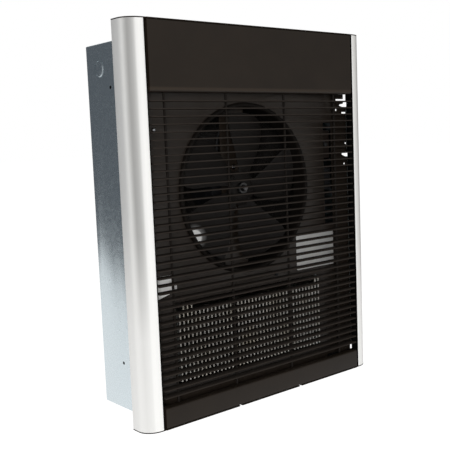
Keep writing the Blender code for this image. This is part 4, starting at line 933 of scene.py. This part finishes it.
labelSizes = {"h": (108.9, 109.4), "plateX": (92.99, 173.99), "plateZ": (-86.4, -33.8),
              "tagX": (-174.0, -130.2), "tagZ": (-93.0, -60.0), "slant": 11.0,
              "torn": ((-137.5, -60.0), (-135.2, -71.8), (-130.2, -73.6))}
plateLine = eased(box2d(labelSizes["plateX"], labelSizes["plateZ"]), 2.0, closed=True)
makePiece("blankPlate", plate([plateLine], labelSizes["h"], rim=0.12), blankCard,
          instead=("rating_plate",))
(tagLeft, tagRight), (tagLow, tagHigh) = labelSizes["tagX"], labelSizes["tagZ"]
tagLine = [(tagLeft, tagHigh), *labelSizes["torn"], (tagRight, tagLow + labelSizes["slant"]),
           (tagLeft, tagLow)]
makePiece("blankTag", plate([eased(tagLine, 0.8, closed=True)], labelSizes["h"], rim=0.12), tagPaper,
          instead=("blank_tag",))
print("fan panel made")


# Heating element

element = {"pitch": 6.78, "fins": 40, "thick": 0.8, "space": 3.7, "flange": 2.1, "front": 113.8, "back": 81.8,
           "z": (-204.8, -101.6), "rod": 5.5, "rodH": 97.8, "rodOffset": 26.0, "overhang": 14.0,
           "collar": 6.5, "bracketFlange": 12.0, "bracketRise": 6.0, "gap": 0.3, "sheet": 1.2,
           "seat": 107.1, "dip": 7.0, "turnGap": 2.1}
finHalf = (element["fins"] - 1) * element["pitch"] / 2 + element["space"] / 2
finEnd = -finHalf + element["space"]
finWeb = finEnd - element["flange"] + element["thick"] / 2
finLine = [(finEnd, element["front"] - 0.4), (finWeb, element["front"] - 0.4), (finWeb, element["back"])]
fin = bentSheet(finLine, element["thick"], 0.8, element["z"], "z", rim=0.1, steps=3)
finX = element["pitch"] * np.arange(element["fins"])
isTall = np.isin(np.arange(element["fins"]), (1, 2, 3, element["fins"] - 2, element["fins"] - 1))
shortFin = bentSheet(finLine, element["thick"], 0.8, (element["z"][0], element["z"][1] - element["dip"]), "z",
                     rim=0.1, steps=3)
fins = fin.copies(offsets(finX[isTall], 0, 0)) + shortFin.copies(offsets(finX[~isTall], 0, 0))
collar = turned([(5.4, 0.6), (7.3, 0.6), (element["collar"], 1.1), (element["collar"], 3.2), (5.4, 3.2)],
                direction="right", sides=20, loop=True)
elementZ = middle(element["z"])
lowRod, highRod = elementZ - element["rodOffset"], elementZ + element["rodOffset"]
collarX, collarZ = (grid.ravel() for grid in np.meshgrid(finX - finHalf, (lowRod, highRod)))
collars = collar.copies(offsets(collarX, element["rodH"], collarZ))
rodEnd = finHalf + element["overhang"]
bendX = -(finHalf + element["turnGap"])
turnLine = arc((bendX, elementZ), (element["rodOffset"],) * 2, 90, 270, 32)
flatPath = np.vstack(([(rodEnd, highRod), (0, highRod)], turnLine, [(0, lowRod), (rodEnd, lowRod)]))
rodPath = np.insert(flatPath, 1, element["rodH"], axis=1)
makePiece("heatingElement", total((fins, collars, tube(rodPath, element["rod"], 22))), finAluminium,
          instead=("heating_element",))

bracketX = finHalf + element["gap"]
webX, flangeH = bracketX + element["sheet"] / 2, element["seat"] - element["sheet"] / 2
bracketLine = [(bracketX + element["bracketFlange"], flangeH), (webX, flangeH), (webX, element["back"])]
bracketZ = (element["z"][0] - element["bracketRise"], element["z"][1] + element["bracketRise"])
bracket = bentSheet(bracketLine, element["sheet"], 1.4, bracketZ, "z")
washer = turned([(5.6, 0), (9, 0), (9, 0.9), (5.6, 0.9)], direction="right", sides=32, loop=True)
bracket += washer.copies(offsets(bracketX + element["sheet"], element["rodH"], (lowRod, highRod)))
makePiece("elementBracketRight", bracket, innerSteel, instead=("element_bracket_right",))
makePiece("elementBracketLeft", bracket.mirrored(), innerSteel,
          instead=("element_bracket_left",))
start = (0, rodEnd + element["gap"])
insulator = np.add(start, [(pole, 0), (3.7, 0), (4, 0.3), (4, 2.2), (3.2, 2.6), (3.2, 3.4), (4, 3.8), (4, 6),
                           (3.4, 7), (pole, 7)])
pin = np.add(start, [(pole, 6.5), (2, 6.5), (2, 13.5), (1.6, 14), (pole, 14)])
for word, z in (("Upper", highRod), ("Lower", lowRod)):
    at = (0, element["rodH"], z)
    makePiece("elementTerminal" + word, turned(insulator, at, "right", 32), porcelain,
              instead=("element_terminal_" + word.lower(),))
    makePiece("elementPin" + word, turned(pin, at, "right", 24), zincPlate)

baffle = {"rise": 26.0, "low": -212.8, "back": 1.5, "front": 81.5, "half": finHalf, "sheet": 1.2}
baffleAt = (baffle["back"] + baffle["rise"], baffle["low"] + baffle["rise"])
baffleRadius = baffle["rise"] - baffle["sheet"] / 2
baffleLine = np.vstack((arc(baffleAt, (baffleRadius,) * 2, 180, 270, 24),
                        [(baffle["front"], baffle["low"] + baffle["sheet"] / 2)]))
baffleForm = bentSheet(baffleLine, baffle["sheet"], 0.1, (-baffle["half"], baffle["half"]), "x")
makePiece("dischargeBaffle", baffleForm, innerSteel, instead=("discharge_baffle",))
print("heating element made")


# Fan

fan = {"blades": 5, "root": 19.0, "tip": 106.0, "halfAngle": 26.0, "sweep": 10.0, "rootRise": 2.0,
       "tipRise": 8.5, "middle": 94.5, "camber": 0.35, "drop": 0.2, "taper": 0.22, "thick": 1.0,
       "rivetAt": 20.5, "rivetAngles": (-0.24, 0.24), "hubH": (82.5, 101.0), "screwH": 98.6,
       "screwAngle": 0.5}


def bladeForm():
    # a blade over its length u and chord v: the radius grows with u, the angle follows v, tapers and sweeps,
    # and the height rises across the chord with a camber of 1 - v squared; both skins lie along the normal
    u, v = np.meshgrid(np.linspace(0, 1, 30), np.linspace(-1, 1, 25), indexing="ij")
    radius = fan["root"] + u * (fan["tip"] - fan["root"])
    angle = np.radians(fan["sweep"] * u + v * fan["halfAngle"] * (1 - fan["taper"] * u ** 6))
    rise = fan["rootRise"] + (fan["tipRise"] - fan["rootRise"]) * u
    height = fan["middle"] + rise * (v + fan["camber"] * (1 - v * v) - fan["drop"])
    skin = np.stack((radius * np.cos(angle), height, radius * np.sin(angle)), -1)
    normal = np.cross(np.gradient(skin, axis=0), np.gradient(skin, axis=1))
    normal /= np.linalg.norm(normal, axis=2)[..., None]
    edge = np.clip(12.5 - abs(np.arange(25) - 12.0) * 1.0, 0.35, 1)[None, :, None]
    half = normal * fan["thick"] / 2 * edge
    return loft(np.concatenate((skin + half, (skin - half)[:, ::-1]), axis=1))


blade = bladeForm()
spiderLine = [(8.3, 93.0), (24.6, 93.0), (25, 93.4), (25, 95.6), (24.6, 96.0), (8.3, 96.0)]
rivetLine = [(pole, 97.1), (1.1, 97.0), (1.9, 96.6), (2.2, 96.0), (2.2, 95.5), (pole, 95.5)]
rivetTurn = np.array(fan["rivetAngles"])
rivets = turned(rivetLine, sides=16).copies(
    offsets(fan["rivetAt"] * np.cos(rivetTurn), 0, fan["rivetAt"] * np.sin(rivetTurn)))
wheel = total((blade + rivets).spun(tau * i / fan["blades"]) for i in range(fan["blades"]))
wheel += turned(spiderLine, sides=96, loop=True)
makePiece("fanBlades", wheel.moved(z=fanZ), fanPaintAndHighlight, body="fan", instead=("fan_blades",),
          crease=50)
hubLow, hubHigh = fan["hubH"]
hubLine = [(4.3, hubLow), (14.6, hubLow), (15, hubLow + 0.4), (15, hubLow + 1.6), (14.6, hubLow + 2),
           (8.6, hubLow + 2), (8, hubLow + 2.6), (8, hubHigh - 0.6), (7.4, hubHigh), (4.9, hubHigh),
           (4.3, hubHigh - 0.5)]
setScrewLine = [(pole, 8.6), (1.2, 8.6), (1.2, 8.0), (1.9, 8.0), (2.1, 8.3), (2.1, 7), (pole, 7)]
setScrew = turned(setScrewLine, (0, fan["screwH"], 0), "left", 24).spun(fan["screwAngle"])
makePiece("fanHub", (turned(hubLine, sides=72, loop=True) + setScrew).moved(z=fanZ), shadedZinc,
          body="fan", instead=("fan_hub",))
rotorLine = [(pole, 106), (3.5, 106), (4, 105.5), (4, 62), (21.7, 62), (22, 61.7), (22, 46.3), (21.7, 46),
             (4, 46), (4, 31.1), (3.5, 30.6), (pole, 30.6)]
makePiece("motorRotor", turned(rotorLine, (0, 0, fanZ)), coreIron, body="fan",
          instead=("motor_rotor",))
print("fan made")


# Motor

motor = {"bearings": {"front_bearing": 72.15, "rear_bearing": 30.0}, "coil": (30.0, 67.2), "wire": 3.0,
         "coilGap": 26.4, "strapX": 22.0, "strapSheet": 2.0, "strapBend": 3.5, "bossHole": 13.3}
shellLine = [(13, 80.6), (12.6, 81.0), (4.6, 81.0), (4.6, 79.3), (9.3, 79.3), (9.3, 72), (11, 72), (11, 76.0),
             (38.3, 76.0), (38.3, 34), (40, 34), (40, 40), (39.4, 40.6), (39.4, 41.8), (40, 42.4), (40, 64),
             (39.4, 64.6), (39.4, 65.8), (40, 66.4), (40, 76.5), (39.6, 77.4), (38.8, 77.7), (14, 77.7),
             (13, 78.4)]
makePiece("motorHousing", turned(shellLine, (0, 0, fanZ), sides=120, loop=True), motorPaint,
          instead=("motor_housing",))
bellLine = [(pole, 29.7), (9.3, 29.7), (9.3, 37), (11, 37), (11, 33.7), (40, 33.7), (40, 30.5), (39.2, 29.2),
            (37.5, 28.2), (15, 28.0), (14, 28.6), (pole, 28.6)]
makePiece("motorEndBell", turned(bellLine, (0, 0, fanZ), sides=120), motorPaint,
          instead=("motor_end_bell",))
statorLine = [(38, 64), (38, 44), (22.6, 44), (22.6, 64)]
makePiece("motorStator", turned(statorLine, (0, 0, fanZ), sides=96, loop=True), coreIron,
          instead=("motor_stator",))
coil = turned(circle(motor["coil"], motor["wire"], 16), (0, 0, fanZ), sides=72, loop=True)
makePiece("motorCoils", coil + coil.moved(h=-motor["coilGap"]), copper)
for node, low in motor["bearings"].items():
    line = [(9, low + 6.6), (8.6, low + 7), (4.7, low + 7), (4.3, low + 6.6), (4.3, low + 0.4), (4.7, low),
            (8.6, low), (9, low + 0.4)]
    makePiece(camel(node), turned(line, (0, 0, fanZ), loop=True), bushBronze, instead=(node,))
strapLine = [(106.1, 137.5), (106.1, 126.5), (79.0, 126.5), (79.0, -126.5), (106.1, -126.5), (106.1, -137.5)]
strapSpan = (-motor["strapX"], motor["strapX"])
strapForm = bentSheet(strapLine, motor["strapSheet"], motor["strapBend"], strapSpan, "x")
strap = makePiece("motorBracket", strapForm.moved(z=fanZ), innerPaint,
                  instead=("motor_bracket",))
hole = motor["bossHole"]
carve(strap, turned([(pole, 70), (hole, 70), (hole, 90), (pole, 90)], (0, 0, fanZ), sides=64))
print("motor made")


# Controls

control = {"x": (130.6, 178.9), "plate": 80.6, "seat": 107.1, "z": (-45.0, 150.0), "sheet": 1.2, "bend": 1.6,
           "thermostat": (161.0, 100.0), "thermostatBase": ((144, 178), (81.5, 96), (78, 122)),
           "thermostatLid": ((145, 177), (95.5, 103.5), (79, 121)), "switch": (167.0, 47.0),
           "switchBase": ((157, 177), (81.5, 104.4), (30, 64)), "pivotH": 102.5, "slotHalf": 0.6,
           "switchLid": ((157.8, 176.2), (103, 104.9), (30.8, 63.2)), "ear": (8.5, 15.0),
           "earH": (105.5, 107.1), "earHalf": 4.0, "relayBase": ((135, 165), (81.1, 105.6), (-91, -53)),
           "relayLid": ((134.99, 165), (102, 107.1), (-91, -53)),
           "relayRib": ((140, 160), (81.15, 81.85), (-85, -59)),
           "terminalBase": ((98, 142), (99, 107.1), (190, 210)),
           "terminalTop": ((98, 142), (89.1, 99.5), (193, 207)),
           "barrier": ((-0.9, 0.9), (89.1, 107.0), (190.2, 209.8)), "barrierX": (99, 113, 127, 141),
           "clampX": (106, 120, 134), "clampAt": (0, 91.2, 200)}
left, right = control["x"]
channelLine = [(left, control["seat"]), (left, control["plate"]), (right, control["plate"]),
               (right, control["seat"])]
makePiece("controlBracket", bentSheet(channelLine, control["sheet"], control["bend"], control["z"], "z"),
          innerSteel, instead=("control_bracket",))
tx, tz = control["thermostat"]
bushLine = np.array([(4.0, 103.0), (5.5, 103.0)] + [(5.5 - 0.35 * (i % 2), 103.6 + 0.4 * i) for i in range(8)]
                    + [(5.1, 107.0), (3.3, 107.0), (3.3, 95.2), (4.0, 95.2)])
thermostat = block(*control["thermostatBase"], 0.8) + block(*control["thermostatLid"], 0.8)
thermostat = makePiece("thermostatBody", thermostat, brownMoulding, instead=("thermostat_body",))
carve(thermostat, turned([(pole, 95.2), (3.6, 95.2), (3.6, 110), (pole, 110)], (tx, 0, tz), sides=32))
makePiece("thermostatBush", turned(bushLine, (tx, 0, tz), sides=48, loop=True), shadedZinc)
dialShaft = turned([(pole, 111.5), (2.7, 111.5), (3, 111.2), (3, 95.5), (pole, 95.5)], (tx, 0, tz), sides=40)
dialShaft = makePiece("thermostatShaft", dialShaft, shadedZinc, body="thermostat_dial",
                      instead=("thermostat_shaft",))
slotX = (tx - control["slotHalf"], tx + control["slotHalf"])
carve(dialShaft, extruded(box2d(slotX, (109.9, 113)), (tz - 5, tz + 5), "z"))

sx, sz = control["switch"]
pivot = control["pivotH"]
rocker = {"radius": 9.0, "proud": 3.5, "tilt": math.radians(9), "half": 5.5, "gap": 0.3}
switch = block(*control["switchBase"], 0.7) + block(*control["switchLid"], 0.4)
switch = makePiece("disconnectSwitch", switch, blackPlastic,
                   instead=("disconnect_switch_body",))
well = (sx - rocker["half"] - rocker["gap"], sx + rocker["half"] + rocker["gap"])
carve(switch, extruded(circle((pivot, sz), rocker["radius"] + rocker["gap"], 64), well, "x"))
edge = math.acos(rocker["proud"] / rocker["radius"])
dip = rocker["radius"] * math.sin(edge) * math.tan(rocker["tilt"])
drum = arc((0, 0), (rocker["radius"],) * 2, math.degrees(edge), 360 - math.degrees(edge), 40)
top = np.linspace(-1, 1, 13)[1:-1]
dish = np.stack((rocker["proud"] - dip * (1 - abs(top) ** 1.5), top * rocker["radius"] * math.sin(edge)), 1)
line = np.vstack((drum, dish))
c, s = math.cos(rocker["tilt"]), math.sin(rocker["tilt"])
line = np.stack((line[:, 0] * c - line[:, 1] * s + pivot, line[:, 0] * s + line[:, 1] * c + sz), 1)
rockerSpan = (sx - rocker["half"], sx + rocker["half"])
rockerForm = extruded(eased(line, 0.4, closed=True, steps=3), rockerSpan, "x")
pins = turned([(pole, -7.5), (1.5, -7.5), (1.5, 7.5), (pole, 7.5)], (sx, pivot, sz), "right", 24)
makePiece("switchRocker", rockerForm + pins, blackPlastic, body="rocker",
          instead=("switch_rocker",))

cx, cz = fanPanel["buttonAt"]
cutoutLine = [(pole, 103.4), (4.3, 103.4), (4.3, 107.1), (8.9, 107.1), (9.5, 106.5), (9.5, 100), (8.8, 99.6),
              (8.8, 94), (8.2, 93.1), (pole, 93.1)]
ear = block(control["ear"], control["earH"], (-control["earHalf"], control["earHalf"]), 0.3, corner=2)
cutoutForm = turned(cutoutLine, sides=64) + ear + ear.mirrored()
makePiece("cutoutBody", cutoutForm.moved(x=cx, z=cz), brownMoulding, instead=("cutout_body",))
buttonLine = [(pole, 111.0), (1.6, 110.9), (2.3, 110.6), (2.6, 110.1), (2.6, 106.8), (4, 106.8), (4, 105.2),
              (pole, 105.2)]
makePiece("resetButton", turned(buttonLine, (cx, 0, cz), sides=40), blackPlastic,
          body="reset", instead=("reset_button",))

relay = block(*control["relayBase"], 0.8) + block(*control["relayLid"], 0.4)
relay += block(*control["relayRib"], 0.3)
makePiece("fanDelayRelay", relay, blackPlastic, instead=("fan_delay_relay",))
terminalBody = block(*control["terminalBase"], 0.5) + block(*control["terminalTop"], 0.5)
barriers = block(*control["barrier"], 0.3).copies(offsets(control["barrierX"], 0, 0))
makePiece("terminalBlock", terminalBody + barriers, brownMoulding, instead=("terminal_block",))
clamp = screwForm(control["clampAt"], "back", 1.5, slotted=True, head=2.6, height=1.6)
makePiece("terminalScrews", clamp.copies(offsets(control["clampX"], 0, 0)), zincPlate)
print("controls made")


# Leads

leadSizes = {"wire": 1.4, "sleeve": 1.9, "bared": 0.75}
leads = {
    "lead_line": ([(126, 98.1, 189.7), (126, 98.1, 181.7), (151, 94.5, 160), (165, 94.5, 140.3),
                   (165, 92.5, 122.3)], True),
    "lead_neutral": ([(116, 98.1, 189.7), (116, 98.1, 181.7), (135.2, 92.5, 156), (135.2, 92.5, 132.3),
                      (135.2, 92.5, 100), (135.2, 92.5, 71.7), (150.7, 92.5, 47), (156.7, 92.5, 47)], False),
    "lead_thermostat": ([(163, 92.5, 77.7), (163, 92.5, 74.7), (167, 92.5, 67.3), (167, 92.5, 64.3)], True),
    "lead_switch": ([(164, 92.5, 29.7), (164, 92.5, 13.7), (150, 94.1, -32.7), (150, 94.1, -52.7)], True),
    "lead_motor": ([(97.7, 98.1, 200), (85.7, 98.1, 200), (60, 69.7, 179.6), (22, 48, 157.6), (4, 44, 120.1),
                    (0, 44, 100.1), (0, 44, 84.4)], True),
    "lead_element": ([(159.4, 94.1, -91.3), (159.4, 94.1, -99.3), (159.4, 97.8, -116.9),
                      (159.4, 97.8, -124.9)], True),
    "lead_cutout": ([(59.8, 97.1, -85.5), (73.5, 97.1, -85.5), (120.7, 94.1, -72), (134.7, 94.1, -72)],
                    False),
}


def leadPath(points, steps=8):
    # a smooth curve through the points: on each inner run the cubic whose ends lean along the chord
    # between the neighbouring points; the first and last runs stay straight
    p = np.asarray(points, float)
    t = np.arange(steps)[None, :, None] / steps
    before, start, end, after = (q[:, None] for q in (p[:-3], p[1:-2], p[2:-1], p[3:]))
    curve = 0.5 * (2 * start + (end - before) * t + (2 * before - 5 * start + 4 * end - after) * t ** 2
                   + (3 * start - before - 3 * end + after) * t ** 3)
    return np.vstack((p[:1], curve.reshape(-1, 3), p[-2:]))


for node, (points, dark) in leads.items():
    path = leadPath(points)
    ends = [(end, end + (near - end) * leadSizes["bared"]) for end, near in (path[:2], path[:-3:-1])]
    makePiece(camel(node), tube(path, leadSizes["wire"]), blackLead if dark else whiteLead,
              instead=(node,), crease=60)
    makePiece(camel(node) + "Ends", total(tube(end, leadSizes["sleeve"]) for end in ends), zincPlate)
print("leads made")


# Camera, light and floor

def standing(right, up, back, place):
    # the world matrix of a thing whose own axes point these three ways: each axis is one column
    return Matrix([*zip(right, up, back, place), (0, 0, 0, 1)])


# fitted to the photograph's straight edges, in metres
shot = {"sensor": 36, "lens": 60.83, "farthest": 200, "place": (-0.7066, -0.9132, 0.1116),
        "right": (0.7681091, -0.63903317, -0.0405589), "up": (0.10140, 0.05885, 0.99310),
        "back": (-0.63223884, -0.76692433, 0.11000512)}
camera = bpy.data.objects.new("photoCamera", bpy.data.cameras.new("photoCamera"))
bpy.context.scene.collection.objects.link(camera)
camera.data.sensor_width = shot["sensor"]
camera.data.lens = shot["lens"]
camera.data.clip_end = shot["farthest"]
camera.matrix_world = standing(shot["right"], shot["up"], shot["back"], shot["place"])
bpy.context.scene.camera = camera
bpy.context.scene.view_settings.view_transform = "Standard"


def seenDirectly(look):
    # 1 where the ray comes from the camera, a mirror or glass
    kinds = ("Is Camera Ray", "Is Glossy Ray", "Is Transmission Ray")
    rays = [look.node("LightPath", out=kind) for kind in kinds]
    most = look.node("Math", {"operation": "MAXIMUM"}, {0: rays[0], 1: rays[1]})
    return look.node("Math", {"operation": "MAXIMUM"}, {0: most, 1: rays[2]})


class Around(Look):
    # the world's tree
    def __init__(self, world):
        world.use_nodes = True
        self.tree = world.node_tree
        self.shader = self.tree.nodes["Background"]


studio = {"ambient": 0.50, "floorZ": -0.62, "floorSize": 40.0, "glow": 0.74, "paper": (0.6, 0.6, 0.6),
          "speck": (0.58, 0.58, 0.58)}
bpy.context.scene.world = bpy.data.worlds.new("studioWorld")
around = Around(bpy.context.scene.world)
level = studio["ambient"] + (1 - studio["ambient"]) * seenDirectly(around)
around.feed(color=around.node("CombineColor", {}, {0: level, 1: level, 2: level}))

floorLook = Look("paleFloor", baseColor=studio["paper"], roughness=1.0, specularLevel=0.0,
                 emissionStrength=1.0)
speckle = floorLook.noise(40, detail=3)
floorLook.feed(baseColor=floorLook.blend(speckle, studio["speck"], studio["paper"]))
glow = seenDirectly(floorLook) * studio["glow"]
floorLook.feed(emissionColor=floorLook.node("CombineColor", {}, {0: glow, 1: glow, 2: glow}))


def stagePlane(name, corners, material):
    # one flat face that belongs to the studio
    mesh = bpy.data.meshes.new(name)
    mesh.from_pydata(corners, [], [tuple(range(len(corners)))])
    mesh.materials.append(material)
    made = bpy.data.objects.new(name, mesh)
    bpy.context.scene.collection.objects.link(made)
    made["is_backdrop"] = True
    return made


half, z = studio["floorSize"], studio["floorZ"]
floorCorners = [(-half, -half, z), (half, -half, z), (half, half, z), (-half, half, z)]
stagePlane("floor", floorCorners, floorLook.material)


def flag(name, centreAngle, spread, distance, low, high, level):
    # a matt card seen only in reflections, turned to the heater; its angle runs from the front to the left
    look = Look(name, baseColor=(0, 0, 0), roughness=1.0, specularLevel=0.0, emissionStrength=1.0,
                emissionColor=level)
    a, b = math.radians(centreAngle - spread), math.radians(centreAngle + spread)
    near, far = ((-distance * math.sin(v), -distance * math.cos(v)) for v in (a, b))
    made = stagePlane(name, [(*near, low), (*far, low), (*far, high), (*near, high)], look.material)
    made.visible_camera = False
    made.visible_diffuse = False
    made.visible_shadow = False
    made.visible_transmission = False


flag("behindLeft", 141, 37, 2.2, -0.335, 3.0, (0.128, 0.138, 0.152))
flag("left", 62, 22, 2.2, -0.42, 3.0, (0.22, 0.22, 0.21))
flag("frontRight", -49, 9, 2.2, -0.38, 3.0, (0.60, 0.58, 0.56))
flag("right", -92, 34, 2.2, -0.38, 3.0, (0.34, 0.33, 0.31))


def softLamp(name, place, size, watts):
    # a square soft lamp that looks at the heater
    data = bpy.data.lights.new(name, "AREA")
    data.shape = "SQUARE"
    data.size = size
    data.energy = watts
    lamp = bpy.data.objects.new(name, data)
    bpy.context.scene.collection.objects.link(lamp)
    away = np.array(place, float) / np.linalg.norm(place)
    side = np.cross((0, 0, 1), away)
    side /= np.linalg.norm(side)
    rise = np.cross(away, side)
    lamp.matrix_world = standing(side, rise, away, place)
    lamp.visible_glossy = False
    lamp.visible_camera = False


softLamp("keyLamp", (-1.10, -1.36, 0.20), 0.35, 17)
softLamp("fillLamp", (1.5, -1.8, 1.4), 1.6, 9)
print("camera, light and floor made")

low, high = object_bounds()
